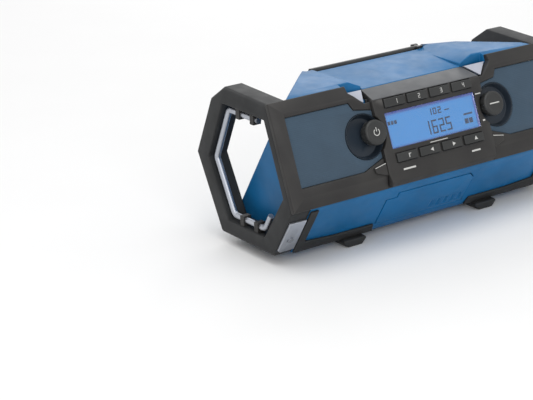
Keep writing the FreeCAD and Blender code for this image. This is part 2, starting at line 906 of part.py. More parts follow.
basket_flange = rod("basket_flange", "speaker_radius", "body_wall", at_speaker(SPEAKER + " - body_wall"))
basket_bowl = cone(
    "basket_bowl",
    "magnet_radius",
    "speaker_hole + 1.5",
    "speaker_depth - body_wall",
    at_speaker(SPEAKER + " - speaker_depth"),
)
basket_hollow = cone(
    "basket_hollow",
    "magnet_radius - body_wall",
    "speaker_hole",
    "speaker_depth - body_wall + 0.1",
    at_speaker(SPEAKER + " - speaker_depth + body_wall"),
)
basket = cut("speaker_basket", fuse("basket_solid", [basket_flange, basket_bowl]), basket_hollow)
both(tilt(basket), "speaker_baskets")
magnet = rod(
    "magnet", "magnet_radius - 1", "magnet_depth", at_speaker(SPEAKER + " - speaker_depth - magnet_depth - 0.1")
)
both(tilt(fuse("speaker_magnet", [magnet])), "speaker_magnets")
cone_outer = cone(
    "cone_outer",
    "magnet_radius / 3",
    "speaker_hole - 1",
    "speaker_depth / 2",
    at_speaker(SPEAKER + " - speaker_depth / 2 + bezel_back / 2"),
)
cone_inner = cone(
    "cone_inner",
    "magnet_radius / 3",
    "speaker_hole - 1",
    "speaker_depth / 2",
    at_speaker(SPEAKER + " - speaker_depth / 2 + bezel_back / 2 + 1"),
)
voice_coil = rod(
    "voice_coil",
    "magnet_radius / 3 + 1",
    "speaker_depth / 2 - body_wall + bezel_back / 2 + 0.9",
    at_speaker(SPEAKER + " - speaker_depth + body_wall + 0.1"),
)
diaphragm = fuse("speaker_cone", [cut("cone_shell", cone_outer, cone_inner), voice_coil])
both(tilt(diaphragm), "speaker_cones")

# Control panel: a raised black shell whose grey top slopes back to the roof

PANEL_OUTLINE = [
    ("-panel_base_half", "0.5"),
    ("panel_base_half", "0.5"),
    ("panel_half", "panel_corner"),
    ("panel_half", "panel_ledge - 3"),
    ("panel_top_half", "panel_top"),
    ("-panel_top_half", "panel_top"),
    ("-panel_half", "panel_ledge - 3"),
    ("-panel_half", "panel_corner"),
]
PANEL_SIDE = [
    ("0.5", "-panel_seat + 0.1"),
    ("0.5", "panel_rise - 4"),
    ("4.5", "panel_rise"),
    ("panel_ledge", "panel_rise"),
    ("panel_top", "-panel_drop"),
    ("grille_high + 0.5", "-panel_drop"),
    ("grille_high + 0.5", "-panel_seat + 0.1"),
]
panel_form = common(
    "panel_form",
    pad("panel_plan", "XY_Plane", PANEL_OUTLINE, "3 * panel_drop"),
    pad("panel_profile", "YZ_Plane", PANEL_SIDE, "length"),
)
POCKET_HALF = "(cup_spread - cup_radius - panel_wall - 0.3)"
POCKET_LOW = "(menu_row - key_height)"
panel_cuts = [
    box(
        "panel_pocket",
        ("-" + POCKET_HALF, POCKET_LOW, "-2 * panel_seat"),
        ("2 * " + POCKET_HALF, "panel_ledge - 0.3 - " + POCKET_LOW, "2 * panel_seat + panel_rise - panel_wall"),
    ),
    box(
        "display_window",
        ("-display_width / 2", "display_middle - display_height / 2", "0"),
        ("display_width", "display_height", "2 * panel_rise"),
    ),
]
for side in (-1, 1):
    panel_cuts.append(
        rod(
            "panel_bite_%d" % (side + 1),
            "cup_radius + 0.3",
            "6 * panel_rise",
            ("(%d) * cup_spread" % side, "cup_middle", "-3 * panel_rise"),
        )
    )
KEYS = []
for row_word, row in (("preset", "preset_row"), ("menu", "menu_row")):
    for index in range(4):
        across = "(%.1f) * key_pitch" % (index - 1.5)
        KEYS.append(("%s_key_%d" % (row_word, index + 1), across, row))
for name, across, row in KEYS:
    panel_cuts.append(
        box(
            name + "_hole",
            (across + " - key_width / 2 - key_gap", row + " - key_height / 2 - key_gap", "0"),
            ("key_width + 2 * key_gap", "key_height + 2 * key_gap", "2 * panel_rise"),
        )
    )
panel = tilt(cut("control_panel", panel_form, fuse("panel_cuts", panel_cuts)))
keep(panel, "control_panel")

# Keys and what is under them

FLANGE = "panel_rise - panel_wall - 0.3"
for name, across, row in KEYS:
    cap = box(
        name + "_cap",
        (across + " - key_width / 2", row + " - key_height / 2", FLANGE + " - key_proud"),
        ("key_width", "key_height", "panel_wall + 0.3 + 2 * key_proud"),
    )
    flange = box(
        name + "_flange",
        (across + " - key_width / 2 - 1", row + " - key_height / 2 - 1", FLANGE + " - key_proud"),
        ("key_width + 2", "key_height + 2", "key_proud"),
    )
    keep(tilt(fuse(name, [cap, flange])), name)
switches = []
SWITCH_LOW = "-panel_seat + 0.1 + board_thick + 0.1"
for name, across, row in KEYS:
    switches.append(
        box(
            name + "_switch",
            (across + " - key_height / 2", row + " - key_height / 4", SWITCH_LOW),
            ("key_height", "key_height / 2", FLANGE + " - key_proud - key_travel - 0.1 - (%s)" % SWITCH_LOW),
        )
    )
keep(tilt(group("key_switches", switches)), "key_switches")
key_board = box(
    "key_board",
    ("-" + POCKET_HALF + " + 0.2", POCKET_LOW + " + 0.2", "-panel_seat + 0.1"),
    ("2 * " + POCKET_HALF + " - 0.4", "panel_ledge - 1.4 - " + POCKET_LOW, "board_thick"),
)
keep(tilt(fuse("keypad_board", [key_board])), "keypad_board")
display = box(
    "display",
    ("-display_width / 2 - 0.5", "display_middle - display_height / 2 - 0.5", SWITCH_LOW),
    (
        "display_width + 1",
        "display_height + 1",
        FLANGE + " - 0.6 - (%s)" % SWITCH_LOW,
    ),
)
keep(tilt(fuse("display_laid", [display])), "display_module")
lens = box(
    "lens",
    ("-display_width / 2 + 0.2", "display_middle - display_height / 2 + 0.2", FLANGE + " - 0.5"),
    ("display_width - 0.4", "display_height - 0.4", "lens_thick"),
)
keep(tilt(fuse("lens_laid", [lens])), "display_lens")

# Silver wedges at the panel's top corners and dark arms at its lower corners

wedge_corners = [
    FreeCAD.Vector(number("panel_top_half + 1.5"), number("wedge_up"), number("-1.8 * bezel_back")),
    FreeCAD.Vector(number("wedge_half"), number("wedge_up"), number("-bezel_back")),
    FreeCAD.Vector(number("wedge_low"), number("panel_ledge"), number("wedge_thick")),
]
wedge = doc.addObject("Part::Feature", "wedge")
wedge_face = Part.Face(Part.makePolygon(wedge_corners + wedge_corners[:1]))
wedge.Shape = wedge_face.extrude(FreeCAD.Vector(0, 0, -number("wedge_thick")))
wedge.Placement = FreeCAD.Placement()
both(tilt(fuse("panel_wedge", [wedge])), "panel_wedges")
arm = pad(
    "arm_form",
    "XY_Plane",
    [
        ("panel_half + 0.4", "bezel_bevel + 0.5"),
        ("arm_reach - 1.5", "arm_up - 8"),
        ("arm_reach", "arm_up - 2.5"),
        ("panel_half + 0.4", "arm_up"),
    ],
    "panel_seat",
    symmetric=False,
    place=("0", "0", "bezel_rise + 0.1"),
)
both(tilt(fuse("arm", [arm])), "panel_arms")

# Knobs: cup, encoder with a push plunger, nut, shaft and cap

CUP_BACK = "-bezel_back + 0.1"
CUP_FLOOR = CUP_BACK + " + cup_wall"


def at_knob(out):
    """A place on the right knob's axis, out from the front face."""
    return ("knob_spread", "knob_middle", out)


def at_cup(out):
    """A place on the right cup's axis, which lies outside the knob's, out from the front face."""
    return ("cup_spread", "cup_middle", out)


BUSH = "shaft_radius + 1.5"
cup = cut(
    "cup",
    cut(
        "cup_hollowed",
        rod("cup_disc", "cup_radius", "cup_depth", at_cup(CUP_BACK)),
        cone(
            "cup_hollow",
            "cup_radius - 2 * cup_wall",
            "cup_radius - cup_wall / 2",
            "cup_depth - cup_wall + 0.01",
            at_cup(CUP_FLOOR),
        ),
    ),
    rod("cup_bore", BUSH + " + 0.1", "cup_depth", at_knob(CUP_BACK + " - 1")),
)
both(tilt(cup), "knob_cups")
ENCODER_BACK = CUP_BACK + " - 0.1 - encoder_depth"
encoder_box = box(
    "encoder_box",
    ("knob_spread - encoder_side / 2", "knob_middle - encoder_side / 2", ENCODER_BACK),
    ("encoder_side", "encoder_side", "encoder_depth"),
)
encoder_bush = rod("encoder_bush", BUSH, "cup_wall + 3.6", at_knob(CUP_BACK + " - 0.1"))
encoder_bore = rod(
    "encoder_bore", "shaft_radius + shaft_play", "encoder_depth + cup_wall + 6", at_knob(ENCODER_BACK + " + 1")
)
encoder = cut("encoder", fuse("encoder_solid", [encoder_box, encoder_bush]), encoder_bore)
both(tilt(encoder), "encoders")
nut = cut(
    "nut",
    rod("nut_disc", BUSH + " + 2.5", "2", at_knob(CUP_FLOOR + " + 0.1")),
    rod("nut_bore", BUSH + " + 0.05", "4", at_knob(CUP_FLOOR + " - 1")),
)
both(tilt(nut), "encoder_nuts")
PLUNGER_LOW = ENCODER_BACK + " + 1 + push_travel + 0.2"
plunger = rod("plunger_rod", "shaft_radius", "2", at_knob(PLUNGER_LOW))
pair(tilt(fuse("plunger", [plunger])), "push_plunger")
SHAFT_LOW = PLUNGER_LOW + " + 2.1"
KNOB_LOW = CUP_FLOOR + " + knob_lift + push_travel"
shaft = rod("shaft_rod", "shaft_radius", "%s + knob_tall / 2 - (%s)" % (KNOB_LOW, SHAFT_LOW), at_knob(SHAFT_LOW))
pair(tilt(fuse("shaft", [shaft])), "knob_shaft")
knob_form = fuse(
    "knob_form",
    [
        cone("knob_flared", "knob_radius - knob_flare", "knob_radius", "2 * knob_flare", at_knob(KNOB_LOW)),
        rod("knob_skirt", "knob_radius", "knob_tall - 2 - 2 * knob_flare", at_knob(KNOB_LOW + " + 2 * knob_flare")),
        cone("knob_crown", "knob_radius", "knob_radius - 1.5", "2", at_knob(KNOB_LOW + " + knob_tall - 2")),
    ],
)
knob_hollow = fuse(
    "knob_hollow",
    [
        rod("knob_recess", BUSH + " + 3.3", "knob_tall / 3", at_knob(KNOB_LOW + " - 0.5")),
        rod("knob_bore", "shaft_radius", "knob_tall / 2 + 0.5", at_knob(KNOB_LOW + " - 0.5")),
    ],
)
pair(tilt(cut("knob", knob_form, knob_hollow)), "knob")

# Bumper hoops with a guard rod held in clips, and a plate on each lower front corner

HOOP_LEAN = "(hoop_bottom - body_bottom) * %s / %s" % (SLOPE_RUN, SLOPE_RISE)
hoop_outer = pad(
    "hoop_block",
    "YZ_Plane",
    [
        ("-body_front - " + HOOP_LEAN, "hoop_bottom"),
        ("hoop_rear", "hoop_bottom"),
        ("hoop_waist", "waist_height"),
        ("hoop_rear + hoop_corner_back", "hoop_top - hoop_corner_drop"),
        ("hoop_rear - hoop_corner_run", "hoop_top"),
        face("bezel_span", "-bezel_back - 0.2"),
        face("4", "-bezel_back - 0.2"),
        ("-lip_reach", "lip_height"),
    ],
    "hoop_thick",
)
doc.recompute()
hoop_feature = hoop_outer.Tip
outer_edges = []
for index, edge in enumerate(hoop_feature.Shape.Edges, start=1):
    box_of_edge = edge.BoundBox
    low_enough = box_of_edge.XMin > number("hoop_thick") / 2 - 0.01
    on_front = edge.CenterOfMass.y < number("-roof_front - 10")
    if low_enough and not on_front:
        outer_edges.append("Edge%d" % index)
softened = hoop_outer.newObject("PartDesign::Chamfer", "hoop_softened")
softened.Base = (hoop_feature, outer_edges)
bind(softened, Size="hoop_edge")
hoop_outer.Tip = softened
settle(hoop_outer, ("length / 2 - hoop_thick / 2", "0", "0"))
hoop_inner = pad(
    "hoop_window",
    "YZ_Plane",
    [
        ("-hoop_front + hoop_bar / 2", "hoop_bottom + 0.8 * hoop_bar"),
        ("hoop_rear - 0.7 * hoop_bar", "hoop_bottom + 0.8 * hoop_bar"),
        ("hoop_waist - 1.13 * hoop_bar", "waist_height"),
        ("hoop_rear - 0.6 * hoop_bar", "hoop_top - 0.85 * hoop_bar"),
        face("bezel_span - 0.7 * hoop_bar", "-bezel_back - hoop_depth"),
        face("0.8 * hoop_bar", "-bezel_back - hoop_depth"),
    ],
    "2 * length",
)
hoop = cut("hoop", hoop_outer, hoop_inner)
pair(hoop, "hoop")

GUARD_X = "length / 2 - 2 * guard_radius"
GUARD = [
    ("-hoop_front + hoop_bar", "hoop_top - 0.85 * hoop_bar - guard_inset"),
    ("hoop_rear - 0.8 * hoop_bar", "hoop_top - 0.85 * hoop_bar - guard_inset"),
    ("hoop_waist - 1.5 * hoop_bar", "waist_height"),
    ("hoop_rear - 0.9 * hoop_bar", "hoop_bottom + 0.8 * hoop_bar + guard_inset"),
    ("-hoop_front + 0.75 * hoop_bar", "hoop_bottom + 0.8 * hoop_bar + guard_inset"),
    ("-hoop_front + 0.25 * hoop_bar", "hoop_bottom + 1.6 * hoop_bar + guard_inset"),
]


def bent_rod(name, corners, across, radius, bend):
    """A round rod along straight runs that meet in arcs of one bend radius."""
    places = [FreeCAD.Vector(number(across), number(y), number(z)) for y, z in corners]
    edges = []
    start = places[0]
    for before, corner, after in zip(places, places[1:], places[2:]):
        back = (before - corner).normalize()
        ahead = (after - corner).normalize()
        half = back.getAngle(ahead) / 2
        run = number(bend) / math.tan(half)
        middle = corner + (back + ahead).normalize() * (number(bend) / math.sin(half) - number(bend))
        edges.append(Part.LineSegment(start, corner + back * run).toShape())
        edges.append(Part.Arc(corner + back * run, middle, corner + ahead * run).toShape())
        start = corner + ahead * run
    edges.append(Part.LineSegment(start, places[-1]).toShape())
    path = Part.Wire(edges)
    ring = Part.Wire(Part.makeCircle(number(radius), places[0], places[1] - places[0]))
    rod_shape = doc.addObject("Part::Feature", name)
    rod_shape.Shape = Part.Wire(path).makePipeShell([ring], True, False)
    return rod_shape


guard = bent_rod("guard", GUARD, GUARD_X, "guard_radius", "guard_bend")
pair(guard, "guard_rod")
clips = []
CLIPS = (
    ("top_front", "-hoop_front + 1.3 * hoop_bar", "top"),
    ("top_rear", "hoop_rear - 1.8 * hoop_bar", "top"),
    ("low_front", "-hoop_front + 1.3 * hoop_bar", "low"),
    ("low_rear", "hoop_rear - 1.8 * hoop_bar", "low"),
)
CLIP_HALF = "(guard_radius + clip_wall)"
for name, along, end in CLIPS:
    if end == "top":
        low = "hoop_top - 0.85 * hoop_bar - guard_inset - " + CLIP_HALF
        seat = "guard_inset + %s - 0.1" % CLIP_HALF
        seat = seat + (" - 1" if name == "top_front" else " - 0.6")
    else:
        low = "hoop_bottom + 0.8 * hoop_bar + 0.1"
        seat = "guard_inset + %s - 0.1" % CLIP_HALF
    clip = box(
        "clip_" + name,
        (GUARD_X + " - " + CLIP_HALF, along + " - clip_length / 2", low),
        ("2 * guard_radius + 2 * clip_wall - 0.2", "clip_length", seat),
    )
    clips.append(clip)
clip_bore = fuse(
    "clip_bores",
    [
        rod(
            "clip_bore_top",
            "guard_radius + 0.02",
            "length / 2",
            (GUARD_X, "-length / 4", "hoop_top - 0.85 * hoop_bar - guard_inset"),
            axis=(0, 1, 0),
        ),
        rod(
            "clip_bore_low",
            "guard_radius + 0.02",
            "length / 2",
            (GUARD_X, "-length / 4", "hoop_bottom + 0.8 * hoop_bar + guard_inset"),
            axis=(0, 1, 0),
        ),
    ],
)
both(cut("guard_clip_row", group("clip_blocks", clips), clip_bore), "guard_clips")

corner_plate = pad(
    "corner_plate_form",
    "XY_Plane",
    [
        ("length / 2 - hoop_thick + plate_inset / 2", "plate_low"),
        ("length / 2 - plate_inset - hoop_edge", "plate_low"),
        ("length / 2 - plate_inset", "plate_low + hoop_edge"),
        ("length / 2 - plate_inset", "plate_high"),
        ("length / 2 - hoop_thick + plate_inset / 2", "plate_high"),
    ],
    "plate_thick",
    symmetric=False,
    place=("0", "0", "0.1"),
)
PLATE_SCREW = ("length / 2 - hoop_thick / 2", "plate_low + (plate_high - plate_low) * 0.4")
screw_way = rod("plate_screw_way", "screw_radius", "20", PLATE_SCREW + ("-10",))
both(slope(cut("corner_plate", corner_plate, screw_way)), "corner_plates")
plate_screw = rod("plate_screw_head", "head_radius", "1.2", PLATE_SCREW + ("plate_thick + 0.15",))
plate_shank = rod("plate_screw_shank", "screw_radius - 0.05", "plate_thick + 0.2", PLATE_SCREW + ("0.1",))
both(slope(fuse("plate_screw", [plate_screw, plate_shank])), "plate_screws")

# Folded antenna: a fork on the roof, a pin, and the rod that swings up about it

FORK_FOOT = CHANNEL + " + 0.1"
fork_pieces = [
    box(
        "fork_base",
        (
            "antenna_right - antenna_radius - 1",
            CHANNEL_FRONT,
            FORK_FOOT,
        ),
        ("3 * antenna_radius", "2 * %s + 2 * antenna_fork" % EAR_HALF, "1.2"),
    )
]
for side in (-1, 1):
    near = "antenna_back + " + EAR_HALF if side > 0 else CHANNEL_FRONT
    fork_pieces.append(
        box(
            "fork_ear_%d" % (side + 1),
            ("antenna_right - antenna_radius", near, FORK_FOOT),
            ("2 * antenna_radius", "antenna_fork", "2 * antenna_radius + 1.9"),
        )
    )
fork_bore = rod(
    "fork_bore", "antenna_pin", "length", ("antenna_right", "-length / 2", ANTENNA_Z), axis=(0, 1, 0)
)
fork = cut("antenna_fork", fuse("fork_solid", fork_pieces), fork_bore)
keep(fork, "antenna_fork")
antenna_pin = rod(
    "antenna_pin_rod",
    "antenna_pin",
    "2 * %s + 2 * antenna_fork" % EAR_HALF,
    ("antenna_right", CHANNEL_FRONT, ANTENNA_Z),
    axis=(0, 1, 0),
)
keep(antenna_pin, "antenna_pin")
knuckle = rod(
    "antenna_knuckle",
    "antenna_radius",
    "2 * %s - 0.6" % EAR_HALF,
    ("antenna_right", "antenna_back - %s + 0.3" % EAR_HALF, ANTENNA_Z),
    axis=(0, 1, 0),
)
mast = rod(
    "antenna_mast",
    "antenna_radius - 0.4",
    "antenna_length",
    ("antenna_right - antenna_length - antenna_radius / 2", "antenna_back", ANTENNA_Z),
    axis=(1, 0, 0),
)
knuckle_bore = rod(
    "knuckle_bore",
    "antenna_pin + shaft_play",
    "length",
    ("antenna_right", "-length / 2", ANTENNA_Z),
    axis=(0, 1, 0),
)
mast_trim = box(
    "mast_trim",
    ("antenna_right - antenna_radius * 1.6", "antenna_back - %s + 0.3" % EAR_HALF, ANTENNA_Z + " - 5"),
    ("2.6 * antenna_radius", "2 * %s - 0.6" % EAR_HALF, "10"),
)
mast_end = common("mast_end", mast, mast_trim)
mast_rest = cut(
    "mast_rest",
    mast,
    box(
        "mast_end_space",
        ("antenna_right - antenna_radius * 1.6", "antenna_back - 20", ANTENNA_Z + " - 20"),
        ("40", "40", "40"),
    ),
)
antenna = cut("antenna", fuse("antenna_solid", [knuckle, mast_end, mast_rest]), knuckle_bore)
keep(antenna, "antenna")
clip_block = box(
    "antenna_clip_block",
    ("antenna_right - 35 * antenna_radius", "antenna_back - 1.5 * antenna_radius", CHANNEL + " + 0.1"),
    ("2 * antenna_radius", "3 * antenna_radius", "antenna_radius + 1.9"),
)
clip_slot = box(
    "antenna_clip_slot",
    (
        "antenna_right - 36 * antenna_radius",
        "antenna_back - antenna_radius - 0.2",
        ANTENNA_Z + " - antenna_radius - 0.2",
    ),
    ("4 * antenna_radius", "2 * antenna_radius + 0.4", "length"),
)
keep(cut("antenna_clip", clip_block, clip_slot), "antenna_clip")

# Main board on posts, its heat sink and the screws from below

post_screws = []
for side in (-1, 1):
    for end in (-1, 1):
        word = "%d_%d" % (side + 1, end + 1)
        where = ("(%d) * post_x" % side, "(%d) * post_y" % end)
        post_screws.append(
            fuse(
                "post_screw_" + word,
                [
                    rod(
                        "screw_shank_" + word,
                        "screw_radius - 0.05",
                        "2 * board_thick + 1",
                        where + ("circuit_height - 1",),
                    ),
                    rod(
                        "screw_head_" + word,
                        "head_radius",
                        "head_tall",
                        where + ("circuit_height + board_thick + 0.1",),
                    ),
                ],
            )
        )
keep(group("board_screws", post_screws), "board_screws")
board_holes = []
for side in (-1, 1):
    for end in (-1, 1):
        board_holes.append(
            rod(
                "board_hole_%d_%d" % (side + 1, end + 1),
                "screw_radius",
                "40",
                ("(%d) * post_x" % side, "(%d) * post_y" % end, "0"),
            )
        )
circuit = box(
    "circuit",
    ("-circuit_width / 2", "-circuit_depth / 2", "circuit_height"),
    ("circuit_width", "circuit_depth", "board_thick"),
)
keep(cut("main_board", circuit, fuse("board_holes", board_holes)), "main_board")
fins = [
    box(
        "sink_base",
        ("-4 * fin_pitch", "0", "circuit_height + board_thick + 0.1"),
        ("8 * fin_pitch + fin_thick", "3 * fin_pitch", "2 * fin_thick"),
    )
]
for index in range(9):
    fins.append(
        box(
            "fin_%d" % index,
            ("(%d) * fin_pitch" % (index - 4), "0", "circuit_height + board_thick + fin_thick"),
            ("fin_thick", "3 * fin_pitch", "fin_height"),
        )
    )
keep(fuse("heat_sink", fins), "heat_sink")

# Checking every object, then writing one file for each piece, with the origin under the middle

doc.recompute()
faults = []
for thing in doc.Objects:
    if "Invalid" in thing.State or "Error" in thing.State:
        faults.append(thing.Name + " " + str(thing.State))
for node in nodes:
    shape = node.Shape
    if shape.isNull() or not shape.isValid() or not shape.Solids:
        faults.append(node.Label + " has no valid solid")
if faults:
    raise SystemExit("The model has faults: " + "; ".join(faults))
whole = Part.makeCompound([node.Shape for node in nodes]).BoundBox
centring = FreeCAD.Vector(0, -(whole.YMin + whole.YMax) / 2, -whole.ZMin)
for node in nodes:
    placed = node.Shape.copy()
    placed.translate(centring)
    placed.exportStep(os.path.join("parts", node.Label + ".step"))
print("%d nodes written, moved back by %.4f mm" % (len(nodes), centring.y))
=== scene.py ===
"""A jobsite radio, dressed for its picture: housing, bumpers, speakers, controls, aerial, then the studio.
Lengths are in metres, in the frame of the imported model, where the radio stands on its feet and faces -Y."""

import math
import bmesh
import bpy
import numpy as np
from mathutils import Matrix, Vector


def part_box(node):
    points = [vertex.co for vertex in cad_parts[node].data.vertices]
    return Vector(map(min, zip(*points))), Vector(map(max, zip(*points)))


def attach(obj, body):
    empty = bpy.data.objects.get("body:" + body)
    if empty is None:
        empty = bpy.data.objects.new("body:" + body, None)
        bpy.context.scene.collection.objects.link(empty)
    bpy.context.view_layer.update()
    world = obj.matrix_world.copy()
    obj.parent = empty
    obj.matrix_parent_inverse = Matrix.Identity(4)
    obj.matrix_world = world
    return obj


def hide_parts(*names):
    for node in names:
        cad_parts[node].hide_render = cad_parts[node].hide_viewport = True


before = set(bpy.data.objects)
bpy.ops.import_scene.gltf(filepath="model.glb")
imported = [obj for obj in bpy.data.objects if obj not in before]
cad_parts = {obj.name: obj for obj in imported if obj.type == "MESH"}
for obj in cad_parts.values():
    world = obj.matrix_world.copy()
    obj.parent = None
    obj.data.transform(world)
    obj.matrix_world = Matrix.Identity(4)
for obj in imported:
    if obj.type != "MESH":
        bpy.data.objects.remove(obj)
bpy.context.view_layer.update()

# Shell
# Back, lower front and roof are injection moulded in blue ABS with a fine spark-eroded grain. The mould's
# corners are rounded, so the shells are copies of the CAD solids with their edges rolled.

MM = 0.001
SHELL_BLUE = "#0E6499"
SHELL_BLUE_DEEP = "#0C5A8A"
# paler blue for the painted highlight on the rolled edges
SHELL_BLUE_EDGE_HIGHLIGHT = "#2C7CB6"
ABS_ROUGHNESS = 0.42
SPARK_GRAIN = 0.45 * MM      # real spark grain is about 0.1 mm, drawn coarser so that it shows
GRAIN_RELIEF = 0.02 * MM     # depth of the grain
CLOUD = 45 * MM              # width of the broad clouds of tone
GLOSS_PATCH = 12 * MM
ROUNDED_EDGE = 0.4 * MM       # radius of the shader's rounded edge, and how far the painted edge highlight reaches in
SHELL_EDGE = 0.9 * MM
WELD = 0.002 * MM            # corners of the CAD mesh that are closer than this are one
WHOLE_FACE = math.radians(0.5)           # triangles that turn by less than this are one face
ROLLED_FROM = math.radians(30)           # edges that turn by more than this are rolled


def linear(code):
    """An sRGB hex colour as linear RGBA: (c / 12.92) below 0.04045, else ((c + 0.055) / 1.055) ** 2.4."""
    parts = np.array([int(code[i:i + 2], 16) for i in (1, 3, 5)]) / 255
    low, high = parts / 12.92, ((parts + 0.055) / 1.055) ** 2.4
    return (*np.where(parts <= 0.04045, low, high).tolist(), 1.0)


def add(tree, kind, values=None, links=None, **settings):
    """Add one node: settings are its properties, values go into its sockets and links feed them."""
    made = tree.nodes.new(kind)
    for name, value in settings.items():
        setattr(made, name, value)
    for socket, value in (values or {}).items():
        made.inputs[socket].default_value = value
    for socket, source in (links or {}).items():
        tree.links.new(source, made.inputs[socket])
    return made


def new_material(name):
    """An empty node material, with its tree, its surface output and the object's own coordinates."""
    material = bpy.data.materials.new(name)
    material.use_nodes = True
    tree = material.node_tree
    tree.nodes.clear()
    output = add(tree, "ShaderNodeOutputMaterial")
    place = add(tree, "ShaderNodeTexCoord").outputs["Object"]
    return material, tree, output, place


def moulded(name, colour, deep, roughness, grain, relief, edge_highlight=None):
    """Moulded plastic, and paint, ink or paper: two close tones in broad clouds, a paler painted highlight on
    the edges where an edge colour is given, an uneven gloss and fine pits. The painted highlight is where the
    rolled normal leaves the face's own normal."""
    material, tree, output, place = new_material(name)
    clouds = add(tree, "ShaderNodeTexNoise", {"Scale": 1 / CLOUD, "Detail": 3.0}, {"Vector": place})
    tones = add(tree, "ShaderNodeValToRGB", links={"Fac": clouds.outputs["Fac"]})
    tones.color_ramp.elements[0].position = 0.35
    tones.color_ramp.elements[0].color = linear(deep)
    tones.color_ramp.elements[1].position = 0.65
    tones.color_ramp.elements[1].color = linear(colour)
    rolled = add(tree, "ShaderNodeBevel", {"Radius": ROUNDED_EDGE}, samples=4)
    flat = add(tree, "ShaderNodeNewGeometry").outputs["True Normal"]
    facing = add(tree, "ShaderNodeVectorMath", operation="DOT_PRODUCT",
                 links={0: rolled.outputs["Normal"], 1: flat})
    # Painted highlight: the colour turns towards the edge colour where the rolled normal leaves the face's
    # own.
    edge = add(tree, "ShaderNodeMapRange", {"From Min": 0.995, "From Max": 0.8, "To Max": 0.5},
               {"Value": facing.outputs["Value"]})
    tint = add(tree, "ShaderNodeMix", {"B": linear(edge_highlight or colour)},
               {"Factor": edge.outputs["Result"], "A": tones.outputs["Color"]}, data_type="RGBA")
    patches = add(tree, "ShaderNodeTexNoise", {"Scale": 1 / GLOSS_PATCH, "Detail": 2.0}, {"Vector": place})
    gloss = add(tree, "ShaderNodeMapRange",
                {"From Min": 0.3, "From Max": 0.7, "To Min": roughness - 0.04, "To Max": roughness + 0.06},
                {"Value": patches.outputs["Fac"]})
    pits = add(tree, "ShaderNodeTexNoise", {"Scale": 1 / grain, "Detail": 2.0}, {"Vector": place})
    bump = add(tree, "ShaderNodeBump", {"Strength": 0.6, "Distance": relief},
               {"Height": pits.outputs["Fac"], "Normal": rolled.outputs["Normal"]})
    shader = add(tree, "ShaderNodeBsdfPrincipled", {"IOR": 1.5, "Specular IOR Level": 0.3},
                 {"Base Color": tint.outputs["Result"], "Roughness": gloss.outputs["Result"],
                  "Normal": bump.outputs["Normal"]})
    tree.links.new(shader.outputs["BSDF"], output.inputs["Surface"])
    return material


def softened(name, nodes, body, material, edge, steps=2, pierced=False):
    """A copy of CAD nodes with welded corners, whole faces and rolled edges, standing in for them. A pierced
    face is split into triangles, so that rolling its edges leaves its windows open."""
    shape = bmesh.new()
    for node in nodes:
        shape.from_mesh(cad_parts[node].data)
    bmesh.ops.remove_doubles(shape, verts=shape.verts, dist=WELD)
    bmesh.ops.dissolve_limit(shape, angle_limit=WHOLE_FACE, verts=shape.verts, edges=shape.edges)
    if pierced:
        bmesh.ops.triangulate(shape, faces=[face for face in shape.faces if len(face.verts) > 4])
    mesh = bpy.data.meshes.new(name)
    shape.to_mesh(mesh)
    shape.free()
    mesh.shade_smooth()
    piece = bpy.data.objects.new(name, mesh)
    bpy.context.scene.collection.objects.link(piece)
    mesh.materials.clear()
    mesh.materials.append(material)
    roll = piece.modifiers.new("rolled_edges", "BEVEL")
    roll.width = edge
    roll.segments = steps
    roll.limit_method = "ANGLE"
    roll.angle_limit = ROLLED_FROM
    roll.use_clamp_overlap = False
    roll.harden_normals = True
    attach(piece, body)
    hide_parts(*nodes)
    return piece


def dress(material, *nodes):
    """Give CAD nodes that stay as they are their finish."""
    for node in nodes:
        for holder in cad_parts[node].material_slots:
            holder.material = material


# ABS, moulded against a spark-eroded tool: an even half-matt blue, painted paler on the rolled edges as a
# painted highlight.
blue_abs = moulded("blue_abs", SHELL_BLUE, SHELL_BLUE_DEEP, roughness=ABS_ROUGHNESS, grain=SPARK_GRAIN,
                   relief=GRAIN_RELIEF, edge_highlight=SHELL_BLUE_EDGE_HIGHLIGHT)
for name, node in (("rear_shell", "rear_housing"), ("lower_front_shell", "front_housing"),
                   ("roof_shell", "roof_cover")):
    softened(name, [node], "chassis", blue_abs, SHELL_EDGE)

# Bumpers
# Hoops, base strips and feet are over-moulded in black rubber, matt, with broad chamfers that carry a painted
# highlight.
# The hoops frame the radio's two ends and are its handles too.

RUBBER = "#2C2D2E"
RUBBER_DEEP = "#242526"
# grey for the painted highlight on the rubber's edges
RUBBER_EDGE_HIGHLIGHT = "#5A5B5C"
RUBBER_ROUGHNESS = 0.62
RUBBER_GRAIN = 0.6 * MM      # real grain is about 0.2 mm, drawn coarser so that it shows
RUBBER_RELIEF = 0.03 * MM
HOOP_EDGE = 1.2 * MM
STRIP_EDGE = 0.6 * MM
FOOT_EDGE = 1.5 * MM

# Thermoplastic rubber, moulded: nearly black and matt, with a grey painted highlight on its edges.
bumper_rubber = moulded("bumper_rubber", RUBBER, RUBBER_DEEP, roughness=RUBBER_ROUGHNESS,
                        grain=RUBBER_GRAIN, relief=RUBBER_RELIEF, edge_highlight=RUBBER_EDGE_HIGHLIGHT)
for name, node, edge, steps in (
    ("left_bumper", "left_hoop", HOOP_EDGE, 3), ("right_bumper", "right_hoop", HOOP_EDGE, 3),
    ("front_strips", "front_base_rails", STRIP_EDGE, 2), ("rear_strip", "rear_base_rail", STRIP_EDGE, 2),
    ("front_pads", "front_feet", FOOT_EDGE, 3), ("rear_pads", "rear_feet", FOOT_EDGE, 3),
):
    softened(name, [node], "chassis", bumper_rubber, edge, steps)

# Bezel
# One black ABS moulding over the whole tilted front, satin, with a rolled rim. The grilles and the control
# panel are set into it.

BLACK = "#2F2E2D"
BLACK_DEEP = "#272626"
